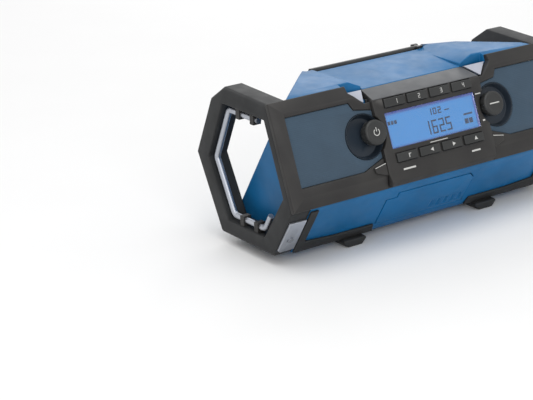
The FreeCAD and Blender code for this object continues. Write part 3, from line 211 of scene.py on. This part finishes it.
# grey for the painted highlight on the black's edges
BLACK_EDGE_HIGHLIGHT = "#5C5A58"
BEZEL_EDGE = 0.8 * MM

# ABS again, in black: a warm satin black with a grey painted highlight on its edges.
black_abs = moulded("black_abs", BLACK, BLACK_DEEP, roughness=0.5, grain=SPARK_GRAIN, relief=GRAIN_RELIEF,
                    edge_highlight=BLACK_EDGE_HIGHLIGHT)
softened("bezel", ["front_frame"], "chassis", black_abs, BEZEL_EDGE, steps=3)

# Corner plates and guard rods
# Aluminium: the plates are brushed sheet, the rods drawn bar, both left bare with a clear anodised film.
# The plates are screwed to the hoops and the rods sit in black clips. Screws and pins are zinc-plated steel.

ALUMINIUM = "#B4B8C0"
ZINC = "#9A9DA3"
BRUSHING = 1.5 * MM          # length of a brushing line
ACROSS_THE_BRUSHING = 12     # a line is this many times longer than it is wide
BLOTCH = 0.8 * MM            # width of the plating's patches
PLATE_EDGE = 0.35 * MM


def brushed(name, colour, roughness, stretch, scratch):
    """Bare metal: noise gives its patches, or its brushing lines where stretch squeezes it across them."""
    material, tree, output, place = new_material(name)
    lines = add(tree, "ShaderNodeMapping", {"Scale": stretch}, {"Vector": place})
    scratches = add(tree, "ShaderNodeTexNoise", {"Scale": 1 / scratch, "Detail": 3.0},
                    {"Vector": lines.outputs["Vector"]})
    gloss = add(tree, "ShaderNodeMapRange",
                {"From Min": 0.3, "From Max": 0.7, "To Min": roughness - 0.06, "To Max": roughness + 0.1},
                {"Value": scratches.outputs["Fac"]})
    tone = add(tree, "ShaderNodeMapRange", {"From Min": 0.3, "From Max": 0.7, "To Min": 0.9, "To Max": 1.0},
               {"Value": scratches.outputs["Fac"]})
    tint = add(tree, "ShaderNodeMix", {"Factor": 1.0, "A": linear(colour)},
               {"B": tone.outputs["Result"]}, data_type="RGBA", blend_type="MULTIPLY")
    rolled = add(tree, "ShaderNodeBevel", {"Radius": 0.3 * MM}, samples=4)
    bump = add(tree, "ShaderNodeBump", {"Strength": 0.25, "Distance": 0.02 * MM},
               {"Height": scratches.outputs["Fac"], "Normal": rolled.outputs["Normal"]})
    shader = add(tree, "ShaderNodeBsdfPrincipled", {"Metallic": 1.0},
                 {"Base Color": tint.outputs["Result"], "Roughness": gloss.outputs["Result"],
                  "Normal": bump.outputs["Normal"]})
    tree.links.new(shader.outputs["BSDF"], output.inputs["Surface"])
    return material


# Anodised aluminium, brushed: a soft cool grey, streaked along the brushing.
brushed_aluminium = brushed("brushed_aluminium", ALUMINIUM, roughness=0.42,
                            stretch=(1.0, ACROSS_THE_BRUSHING, ACROSS_THE_BRUSHING), scratch=BRUSHING)
# Steel, zinc plated: a darker grey with a soft, patchy shine.
zinc_steel = brushed("zinc_plated_steel", ZINC, roughness=0.35, stretch=(1.0, 1.0, 1.0), scratch=BLOTCH)
softened("end_plates", ["corner_plates"], "chassis", brushed_aluminium, PLATE_EDGE)
dress(brushed_aluminium, "left_guard_rod", "right_guard_rod", "heat_sink")
dress(zinc_steel, "plate_screws", "board_screws", "encoder_nuts", "left_knob_shaft", "right_knob_shaft",
      "antenna_pin", "hatch_pin", "speaker_baskets", "speaker_magnets", "battery_contacts")
dress(black_abs, "guard_clips", "left_push_plunger", "right_push_plunger", "encoders")

# Speaker grilles
# Slate blue cloth stretched over a plate, one either side, each with a round bite for a knob's cup. Cones
# of pressed paper lie behind them.

CLOTH = "#344A5C"
CLOTH_DEEP = "#2C3F4F"
THREAD = 1.3 * MM            # real threads are about 0.4 mm apart, drawn coarser so that the weave shows
SLUB = 20 * MM               # width of the cloth's uneven patches
CLOTH_EDGE = 0.8 * MM
FRONT_TILT = math.radians(21.2)          # how far the front leans back
BAND_PERIOD = math.tau / 20              # spacing of a Wave node's bands at scale 1


def woven(name, colour, deep, pitch):
    """Plain woven cloth: two crossed sets of bands on the tilted face, where each thread's crown is lit."""
    material, tree, output, place = new_material(name)
    turned = add(tree, "ShaderNodeMapping", {"Rotation": (-FRONT_TILT, 0, 0)}, {"Vector": place})
    crowns = []
    for axis in ("X", "Z"):
        band = add(tree, "ShaderNodeTexWave", {"Scale": BAND_PERIOD / pitch, "Distortion": 0.3},
                   {"Vector": turned.outputs["Vector"]}, bands_direction=axis, wave_profile="SIN")
        crowns.append(band.outputs["Fac"])
    weave = add(tree, "ShaderNodeMath", links={0: crowns[0], 1: crowns[1]}, operation="MULTIPLY")
    slub = add(tree, "ShaderNodeTexNoise", {"Scale": 1 / SLUB, "Detail": 4.0}, {"Vector": place})
    depth = add(tree, "ShaderNodeMapRange", {"From Max": 1.0, "To Min": -0.1, "To Max": 0.5},
                {"Value": weave.outputs["Value"]})
    mixed = add(tree, "ShaderNodeMath", links={0: depth.outputs["Result"], 1: slub.outputs["Fac"]},
                operation="ADD")
    tint = add(tree, "ShaderNodeMix", {"A": linear(deep), "B": linear(colour)},
               {"Factor": mixed.outputs["Value"]}, data_type="RGBA")
    bump = add(tree, "ShaderNodeBump", {"Strength": 0.5, "Distance": 0.15 * MM},
               {"Height": weave.outputs["Value"]})
    shader = add(tree, "ShaderNodeBsdfPrincipled", {"Roughness": 0.8, "Sheen Weight": 0.15},
                 {"Base Color": tint.outputs["Result"], "Normal": bump.outputs["Normal"]})
    tree.links.new(shader.outputs["BSDF"], output.inputs["Surface"])
    return material


# Polyester cloth, woven: a dull slate blue with a fine mottle and no gloss.
speaker_cloth = woven("speaker_cloth", CLOTH, CLOTH_DEEP, THREAD)
for side in ("left", "right"):
    softened(f"{side}_cloth_panel", [f"{side}_speaker_grille"], "chassis", speaker_cloth,
             CLOTH_EDGE)
# Paper pulp, pressed: dead matt and rough, nearly black.
cone_paper = moulded("pressed_paper", "#2B2B2B", "#222222", roughness=0.9, grain=0.8 * MM,
                     relief=0.05 * MM)
dress(cone_paper, "speaker_cones")

# Control panel
# Black ABS shell standing proud of the bezel, its sloping top painted a little paler as painted light, with
# silver painted wedges at the upper corners and dark arms at the lower ones, each arm with a painted
# highlight along its upper edge.

FRONT_FOOT = (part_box("front_frame")[0].y, 64 * MM)      # y and z where the tilted front starts
LEFT_AND_RIGHT = (-1, 1)
PANEL_HALF = 67 * MM
PANEL_TOP = 7.5 * MM         # how far the panel stands off the front
ARM_REACH = 82 * MM
ARM_TOP = 6.6 * MM           # and how far its arms do
UPWARD = 0.75                # faces of the panel whose normal rises more than this are the sloping top, painted paler as painted light
ROLLED_FACE = 20 * MM * MM   # and faces smaller than this belong to a rolled edge
PANEL_EDGE = 0.7 * MM
ARM_EDGE = 0.5 * MM
WEDGE_EDGE = 0.3 * MM
ARM_HIGHLIGHT = (24.0 * MM, 24.7 * MM)        # lower and upper side of an arm's painted highlight line at the panel
ARM_HIGHLIGHT_END = (21.6 * MM, 22.2 * MM)    # and at the arm's far end
MARK_DEPTH = 0.3 * MM         # printing and the painted highlight lines on the arms are let into their ground this deep and stand proud by this much
MARK_RISE = 0.06 * MM         # and stands proud by this much
PANEL_BARS = (               # across, up, width and height in mm of the plain bars on the panel
    (-42, 14.5, 15, 1.7),
    (42, 14.5, 11, 1.7),
    (0, 33.2, 22, 0.8),
    (60.5, 68.4, 7, 1.1),
    (60.5, 41.4, 3, 1.6),
)


def on_front(across, up, out):
    """A point on the tilted front: up runs along the face from its foot, out stands off it."""
    up, out = np.asarray(up, float), np.asarray(out, float)
    depth = FRONT_FOOT[0] + up * math.sin(FRONT_TILT) - out * math.cos(FRONT_TILT)
    height = FRONT_FOOT[1] + up * math.cos(FRONT_TILT) + out * math.sin(FRONT_TILT)
    return np.stack(np.broadcast_arrays(np.asarray(across, float), depth, height), -1)


def new_piece(name, corners, faces, material, slot, body="chassis", smooth=True):
    """A mesh object from corners and faces, with its normals turned outwards."""
    mesh = bpy.data.meshes.new(name)
    mesh.from_pydata(corners, [], faces)
    shape = bmesh.new()
    shape.from_mesh(mesh)
    bmesh.ops.remove_doubles(shape, verts=shape.verts, dist=0.001 * MM)
    bmesh.ops.recalc_face_normals(shape, faces=shape.faces)
    shape.to_mesh(mesh)
    shape.free()
    if smooth:
        mesh.shade_smooth()
    mesh.materials.append(material)
    piece = bpy.data.objects.new(name, mesh)
    bpy.context.scene.collection.objects.link(piece)
    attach(piece, body)
    return piece


def printed(name, outlines, low, high, material, slot, body="chassis"):
    """Thin prisms on the tilted front, from outlines of (across, up) corners, between two heights off it."""
    corners, faces = [], []
    for outline in outlines:
        first, count = len(corners), len(outline)
        for out in (low, high):
            corners += [tuple(on_front(across, up, out)) for across, up in outline]
        faces += [list(range(low_end, low_end + count)) for low_end in (first, first + count)]
        faces += [[first + k, first + (k + 1) % count, first + count + (k + 1) % count, first + count + k]
                  for k in range(count)]
    return new_piece(name, corners, faces, material, slot, body, smooth=False)


def bar(across, up, wide, tall):
    """A rectangle about its middle."""
    return [(across - wide / 2, up - tall / 2), (across + wide / 2, up - tall / 2),
            (across + wide / 2, up + tall / 2), (across - wide / 2, up + tall / 2)]


# ABS moulded as the black is, the same satin, painted a tone paler as painted light on the panel's sloping
# top, with a paler painted highlight on its edges.
top_lit_abs = moulded("top_lit_abs", "#4A4C4F", "#424447", roughness=0.45, grain=SPARK_GRAIN,
                   relief=GRAIN_RELIEF, edge_highlight="#77797C")
# Silver paint, sprayed: fine and even, without a metal's sharp reflections, and with a paler painted
# highlight on its edges.
silver_paint = moulded("silver_paint", "#B4B8C4", "#A6AAB6", roughness=0.36, grain=0.3 * MM,
                       relief=0.01 * MM, edge_highlight="#C4C8D2")
# Screen ink, printed: one flat pale grey with a soft satin. It also draws the painted highlight lines along
# the arms' upper edges.
pale_ink_and_highlight = moulded("pale_ink_and_highlight", "#C9C9C6", "#BEBEBB", roughness=0.5, grain=0.3 * MM, relief=0.005 * MM)

panel = softened("panel_shell", ["control_panel"], "chassis", black_abs, PANEL_EDGE, steps=3,
                 pierced=True)
# The upward faces get the paler material: painted light where the sloping top faces the lamps.
panel.data.materials.append(top_lit_abs)
for face in panel.data.polygons:
    if face.normal.z > UPWARD and face.area > ROLLED_FACE:
        face.material_index = 1
softened("corner_arms", ["panel_arms"], "chassis", black_abs, ARM_EDGE)
softened("corner_wedges", ["panel_wedges"], "chassis", silver_paint, WEDGE_EDGE)
# A pale painted highlight line along the upper edge of each dark arm, where the edge catches the light.
arm_highlights = []
for sign in LEFT_AND_RIGHT:
    inner, outer = sign * (PANEL_HALF + 1 * MM), sign * (ARM_REACH - 1 * MM)
    arm_highlights.append([(inner, ARM_HIGHLIGHT[0]), (outer, ARM_HIGHLIGHT_END[0]), (outer, ARM_HIGHLIGHT_END[1]),
                      (inner, ARM_HIGHLIGHT[1])])
printed("arm_edge_highlights", arm_highlights, ARM_TOP - MARK_DEPTH, ARM_TOP + MARK_RISE, pale_ink_and_highlight, "black_shell")
printed("panel_marks", [bar(*(value * MM for value in sizes)) for sizes in PANEL_BARS],
        PANEL_TOP - MARK_DEPTH, PANEL_TOP + MARK_RISE, pale_ink_and_highlight, "black_shell")

# Knobs
# Black mouldings that flare from a narrow foot to a round cap, with nine shallow flutes round the barrel and
# a hollow underneath for the encoder's nut. Each stands in a smooth slate blue dish let into the grille.

KNOB_SPREAD = 74 * MM
KNOB_UP = 55.5 * MM
KNOB_FLUTES = 9
KNOB_AROUND = 144
CAP_INK = (13.0 * MM, 13.25 * MM)        # from just under the cap's face to just over it
SWITCH_RING = (3.6 * MM, 2.8 * MM)       # outer and inner radius of the switch mark
SWITCH_ARC = (125, 415)                  # degrees, so that the ring is open at the top
DISH_EDGE = 0.5 * MM


def ring_faces(rows, around):
    """Quads between each row of a closed ring grid and the next."""
    row, step = np.meshgrid(np.arange(rows - 1), np.arange(around), indexing="ij")
    after = (step + 1) % around
    quads = np.stack([row * around + step, row * around + after,
                      (row + 1) * around + after, (row + 1) * around + step], -1)
    return quads.reshape(-1, 4).tolist()


def knob_skirt(middle):
    """A knob: radius R(h) along its height, less a flute of depth F(h) * (1 - |cos|) round the skirt."""
    profile = np.array([   # radius, height off the front and flute depth, in mm
        (0.0, 3.6, 0), (7.6, 3.6, 0), (7.7, 3.5, 0), (7.7, -0.4, 0),
        (9.6, -0.4, 0), (10.0, 0.0, 0.4), (10.7, 1.2, 1.0), (11.6, 3.0, 1.1),
        (12.3, 4.6, 1.0), (12.5, 6.0, 1.0), (12.5, 9.0, 0.9), (12.45, 10.6, 0.4), (12.4, 11.2, 0),
        (12.2, 11.9, 0), (11.7, 12.6, 0), (11.0, 13.1, 0), (10.2, 13.35, 0), (9.4, 13.4, 0), (8.9, 13.25, 0),
        (8.4, 13.1, 0), (4.0, 13.1, 0), (0.0, 13.1, 0)]) * MM
    turn = np.linspace(0, 2 * np.pi, KNOB_AROUND, endpoint=False)
    flute = 1 - np.abs(np.cos(turn * KNOB_FLUTES / 2))
    radius = profile[:, :1] - profile[:, 2:] * flute
    corners = on_front(middle + radius * np.cos(turn), KNOB_UP + radius * np.sin(turn), profile[:, 1:2])
    return corners.reshape(-1, 3).tolist(), ring_faces(len(profile), KNOB_AROUND)


# ABS from a finer tool: a smoother, slightly glossy black, with a grey painted highlight on its edges.
knob_abs = moulded("satin_black_abs", "#333434", "#2C2D2D", roughness=0.38, grain=0.3 * MM,
                   relief=0.01 * MM, edge_highlight="#6A6A6A")
# ABS in dark slate, moulded smooth: its gloss shows the dish's curve, and its edges carry a paler painted
# highlight.
cup_abs = moulded("slate_abs", "#27303A", "#222A33", roughness=0.35, grain=0.4 * MM, relief=0.01 * MM,
                  edge_highlight="#3B4A58")

for side, sign in zip(("left", "right"), LEFT_AND_RIGHT):
    node = f"{side}_knob"
    knob = new_piece(f"{side}_dial", *knob_skirt(sign * KNOB_SPREAD), knob_abs, "key_plastic", node)
    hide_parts(node)
ring_turn = np.radians(np.linspace(*SWITCH_ARC, 41))
ring = [(-KNOB_SPREAD + radius * math.cos(angle), KNOB_UP + radius * math.sin(angle))
        for radius, turns in zip(SWITCH_RING, (ring_turn, ring_turn[::-1])) for angle in turns]
stroke = bar(-KNOB_SPREAD, KNOB_UP + 2.7 * MM, wide=0.8 * MM, tall=4 * MM)
printed("switch_mark", [ring, stroke], *CAP_INK, pale_ink_and_highlight, "key_plastic", "left_knob")
line = bar(KNOB_SPREAD, KNOB_UP, wide=12 * MM, tall=1.2 * MM)
printed("dial_mark", [line], *CAP_INK, pale_ink_and_highlight, "key_plastic", "right_knob")
softened("knob_dishes", ["knob_cups"], "chassis", cup_abs, DISH_EDGE)

# Keys
# Eight sprung keys in black ABS with rounded tops, a preset row above the display and a menu row below it.
# Each slides in its hole in the control panel, and its sign is printed in pale ink.

KEY_TOP = 9.1 * MM           # how far the keys stand off the front
KEY_EDGE = 0.5 * MM
KEY_MIDDLES = (-42 * MM, -14 * MM, 14 * MM, 42 * MM)
PRESET_UP, MENU_UP = 80.2 * MM, 26.5 * MM
# Lit bars of each digit.
LIT = {"0": "abcdef", "1": "bc", "2": "abged", "3": "abgcd", "4": "fgbc", "5": "afgcd", "6": "afgedc"}
MENU_SHAPES = (              # corners off the middle of each menu key, in mm: a hook, then three triangles
    [[(1.55, -2), (2.45, -2), (2.45, 2), (1.55, 2)], [(2.4, 1.2), (4.4, 1.2), (4.4, 2), (2.4, 2)]],
    [[(0.4, 0), (4, -2), (4, 2)]],
    [[(4, 0), (0.4, -2), (0.4, 2)]],
    [[(0, -1.6), (4.4, -1.6), (2.2, 2)]],
)


def digit(sign, across, up, wide, tall, thick):
    """A seven-segment digit about its middle: bars a to f run clockwise from the top, and g is the middle
    one. Each bar is a rectangle about a point half of the width or a quarter of the height away."""
    bars = {"a": (0, tall / 2), "g": (0, 0), "d": (0, -tall / 2), "b": (wide / 2, tall / 4),
            "c": (wide / 2, -tall / 4), "f": (-wide / 2, tall / 4), "e": (-wide / 2, -tall / 4)}
    outlines = []
    for name in LIT[sign]:
        right, rise = bars[name]
        size = (wide + thick, thick) if name in "agd" else (thick, tall / 2 + thick)
        outlines.append(bar(across + right, up + rise, *size))
    return outlines


for row in ("preset", "menu"):
    for number in range(1, 5):
        key = f"{row}_key_{number}"
        softened(f"{row}_cap_{number}", [key], key, knob_abs, KEY_EDGE, steps=3)
figures = [digit(str(number), across + 2 * MM, PRESET_UP, wide=1.8 * MM, tall=4 * MM, thick=0.6 * MM)
           for number, across in enumerate(KEY_MIDDLES, 1)]
signs = [[[(across + right * MM, MENU_UP + rise * MM) for right, rise in shape] for shape in shapes]
         for across, shapes in zip(KEY_MIDDLES, MENU_SHAPES)]
for row, marks in (("preset", figures), ("menu", signs)):
    for number, outlines in enumerate(marks, 1):
        printed(f"{row}_mark_{number}", outlines, KEY_TOP - MARK_DEPTH, KEY_TOP + MARK_RISE, pale_ink_and_highlight,
                "key_plastic", f"{row}_key_{number}")

# Display
# Blue backlit liquid crystal behind a clear acrylic window that is let into the control panel. Digits and
# marks are dark segments.

LCD_BLUE = "#2C80C4"
LCD_RIM = "#1E3C96"
LCD_GLOW = 0.34
LCD_REACH = {"X": 55.5 * MM, "Z": 16.3 * MM}          # half of the lit area, in width and in height
LCD_FADE = 3 * MM            # width of the dark rim
SMEAR = 20 * MM              # width of the window's wiped patches
MODULE_TOP = 4.1 * MM        # how far the crystal stands off the front
LCD_UP = 53.5 * MM
LARGE_UP = LCD_UP - 6.5 * MM
SMALL_UP = LCD_UP + 8.5 * MM
LARGE_DIGITS = (("1", -8), ("6", 1), ("2", 10), ("5", 18.5))         # each digit's place across in mm
SMALL_DIGITS = (("1", -1), ("0", 5), ("2", 11))
LCD_SINK = 0.02 * MM         # how deep the dark segments reach into the crystal
LCD_BARS = (                 # across, up from the middle, width and height in mm
    (20, 7.2, 6, 1.1),
    (-52, 7, 3, 3.6),
    (-48, 7, 3, 3.6),
    (-44, 7, 3, 3.6),
    (44.5, -1.9, 11, 1.8),
    (41, -8.8, 4.6, 5),
    (46.5, -8.8, 4.6, 5),
)


def backlit(name, colour, rim, glow):
    """A backlit panel: its blue turns to the rim's by the larger of S(|x|) and S(|z|) from its middle, where
    S steps smoothly from 0 to 1 over the last LCD_FADE of LCD_REACH."""
    material, tree, output, place = new_material(name)
    low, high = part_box("display_module")
    middle = (low + high) / 2
    centred = add(tree, "ShaderNodeMapping", {"Location": tuple(-middle)}, {"Vector": place})
    split = add(tree, "ShaderNodeSeparateXYZ", links={0: centred.outputs["Vector"]})
    masks = []
    for axis, reach in LCD_REACH.items():
        size = add(tree, "ShaderNodeMath", links={0: split.outputs[axis]}, operation="ABSOLUTE")
        mask = add(tree, "ShaderNodeMapRange", {"From Min": reach - LCD_FADE, "From Max": reach},
                   {"Value": size.outputs["Value"]}, interpolation_type="SMOOTHSTEP")
        masks.append(mask.outputs["Result"])
    edge = add(tree, "ShaderNodeMath", links={0: masks[0], 1: masks[1]}, operation="MAXIMUM")
    tint = add(tree, "ShaderNodeMix", {"A": linear(colour), "B": linear(rim)},
               {"Factor": edge.outputs["Value"]}, data_type="RGBA")
    shader = add(tree, "ShaderNodeBsdfPrincipled", {"Roughness": 0.3, "Emission Strength": glow},
                 {"Base Color": tint.outputs["Result"], "Emission Color": tint.outputs["Result"]})
    tree.links.new(shader.outputs["BSDF"], output.inputs["Surface"])
    return material


def clear(name, colour, roughness, ior):
    """Clear acrylic: clean transmission with a faint unevenness of gloss, as of wiping."""
    material, tree, output, place = new_material(name)
    smears = add(tree, "ShaderNodeTexNoise", {"Scale": 1 / SMEAR}, {"Vector": place})
    gloss = add(tree, "ShaderNodeMapRange", {"To Min": roughness, "To Max": roughness + 0.05},
                {"Value": smears.outputs["Fac"]})
    shader = add(tree, "ShaderNodeBsdfPrincipled",
                 {"Base Color": linear(colour), "Transmission Weight": 1.0, "IOR": ior},
                 {"Roughness": gloss.outputs["Result"]})
    tree.links.new(shader.outputs["BSDF"], output.inputs["Surface"])
    return material


# Liquid crystal, lit from behind: an even glowing blue that darkens at the rim.
dress(backlit("backlit_crystal", LCD_BLUE, LCD_RIM, LCD_GLOW), "display_module")
# Acrylic, cast and polished: clear, with a faint sheen over the digits.
dress(clear("clear_acrylic", "#FFFFFF", roughness=0.02, ior=1.49), "display_lens")
# Liquid crystal, switched dark: flat navy shapes.
segment_ink = moulded("crystal_ink", "#123A66", "#0F3158", roughness=0.4, grain=0.5 * MM,
                      relief=0.005 * MM)
segments = []
for sign, across in LARGE_DIGITS:
    segments += digit(sign, across * MM, LARGE_UP, wide=5 * MM, tall=12 * MM, thick=1.5 * MM)
for sign, across in SMALL_DIGITS:
    segments += digit(sign, across * MM, SMALL_UP, wide=3 * MM, tall=5.4 * MM, thick=1.1 * MM)
segments += [bar(across * MM, LCD_UP + up * MM, wide * MM, tall * MM) for across, up, wide, tall in LCD_BARS]
printed("crystal_segments", segments, MODULE_TOP - LCD_SINK, MODULE_TOP + MARK_RISE, segment_ink,
        "display_blue")

# Boards and sockets
# Green glass fibre boards with black nylon switches and sockets, screwed or clipped inside the shells. They
# are seen only through the openings.

# Glass fibre laminate, lacquered: a dull leaf green.
circuit = moulded("glass_fibre_board", "#2E5A3C", "#244A31", roughness=0.45, grain=0.5 * MM,
                  relief=GRAIN_RELIEF)
# Nylon, moulded: a plain dull black.
nylon = moulded("black_nylon", "#262626", "#1F1F1F", roughness=0.5, grain=0.5 * MM, relief=GRAIN_RELIEF)
dress(circuit, "main_board", "keypad_board")
dress(nylon, "key_switches", "dc_inlet", "aux_socket", "battery_terminal_block")
dress(black_abs, "battery_bay", "hatch_tray")

# Hatch
# A stepped blue flap in the lower front, of the same moulded ABS as the shells. It turns on a steel pin
# along its bottom edge.

HATCH_EDGE = 0.6 * MM

softened("hatch_flap", ["front_hatch"], "hatch", blue_abs, HATCH_EDGE)

# Aerial
# Rod folded into a channel along the roof's back edge, sleeved in satin black, with a black fork and clip.
# A steel pin joins it to the fork.

dress(knob_abs, "antenna")
dress(black_abs, "antenna_fork", "antenna_clip")

# Studio
# A floor of white paper under three soft lamps. Behind it the camera, glossy and transmitted rays see a
# plain white world.

CAMERA_PLACE = Vector((-1.0761, -1.38252, 0.6376))
CAMERA_AIM = Vector((0.549087, 0.768230, -0.329129))
CAMERA_RIGHT = Vector((0.807670, -0.588999, -0.027362))
SENSOR_WIDTH = 36                        # mm
FOCAL_LENGTH = 122.73                    # mm
CAMERA_SHIFT = (-0.1033, -0.0177)
SKY_LEVEL = 0.62
FLOOR_REACH = 40.0
AIMED_AT = Vector((0, 0, 0.08))          # the lamps face the radio's middle
LAMPS = (                    # name, place, size and power of each soft lamp
    ("top_lamp", (-0.4, -0.3, 1.7), 1.6, 14),
    ("front_lamp", (-0.9, -2.0, 0.9), 1.2, 13),
    ("back_lamp", (0.9, 1.4, 1.2), 1.2, 9),
)

view = bpy.data.cameras.new("camera")
view.sensor_width = SENSOR_WIDTH
view.lens = FOCAL_LENGTH
view.shift_x, view.shift_y = CAMERA_SHIFT
camera = bpy.data.objects.new("camera", view)
bpy.context.scene.collection.objects.link(camera)
side_axis = CAMERA_RIGHT.normalized()
back_axis = -CAMERA_AIM.normalized()
up_axis = back_axis.cross(side_axis)
turned = Matrix((side_axis, up_axis, back_axis)).transposed().to_4x4()
camera.matrix_world = Matrix.Translation(CAMERA_PLACE) @ turned
bpy.context.scene.camera = camera


def seen_white(tree, plain, output):
    """White to camera, glossy and transmitted rays, and the plain shader to all other light."""
    rays = add(tree, "ShaderNodeLightPath")
    some = add(tree, "ShaderNodeMath", operation="MAXIMUM",
               links={0: rays.outputs["Is Camera Ray"], 1: rays.outputs["Is Glossy Ray"]})
    either = add(tree, "ShaderNodeMath", operation="MAXIMUM",
                 links={0: some.outputs["Value"], 1: rays.outputs["Is Transmission Ray"]})
    white = add(tree, "ShaderNodeBackground", {"Color": (1, 1, 1, 1), "Strength": 1.0})
    mixed = add(tree, "ShaderNodeMixShader",
                links={0: either.outputs["Value"], 1: plain.outputs[0], 2: white.outputs[0]})
    tree.links.new(mixed.outputs[0], output.inputs["Surface"])


world = bpy.data.worlds.new("studio")
world.use_nodes = True
world.node_tree.nodes.clear()
sky_output = add(world.node_tree, "ShaderNodeOutputWorld")
sky = add(world.node_tree, "ShaderNodeBackground", {"Color": (1, 1, 1, 1), "Strength": SKY_LEVEL})
seen_white(world.node_tree, sky, sky_output)
bpy.context.scene.world = world

floor_mesh = bpy.data.meshes.new("floor")
floor_mesh.from_pydata([(*corner, 0) for corner in bar(0, 0, 2 * FLOOR_REACH, 2 * FLOOR_REACH)], [],
                       [(0, 1, 2, 3)])
floor = bpy.data.objects.new("floor", floor_mesh)
bpy.context.scene.collection.objects.link(floor)
# Backdrop paper, uncoated: an even matt white.
paper, tree, output, place = new_material("white_paper")
paper_noise = add(tree, "ShaderNodeTexNoise", {"Scale": 8.0}, {"Vector": place})
paper_tone = add(tree, "ShaderNodeMapRange", {"To Min": 0.88, "To Max": 0.9},
                 {"Value": paper_noise.outputs["Fac"]})
paper_shader = add(tree, "ShaderNodeBsdfDiffuse", links={"Color": paper_tone.outputs["Result"]})
tree.links.new(paper_shader.outputs["BSDF"], output.inputs["Surface"])
floor_mesh.materials.append(paper)

for name, spot, size, power in LAMPS:
    light = bpy.data.lights.new(name, "AREA")
    light.size = size
    light.energy = power
    lamp = bpy.data.objects.new(name, light)
    lamp.location = spot
    lamp.rotation_mode = "QUATERNION"
    lamp.rotation_quaternion = (AIMED_AT - Vector(spot)).to_track_quat("-Z", "Y")
    bpy.context.scene.collection.objects.link(lamp)

bpy.context.scene.view_settings.view_transform = "Standard"
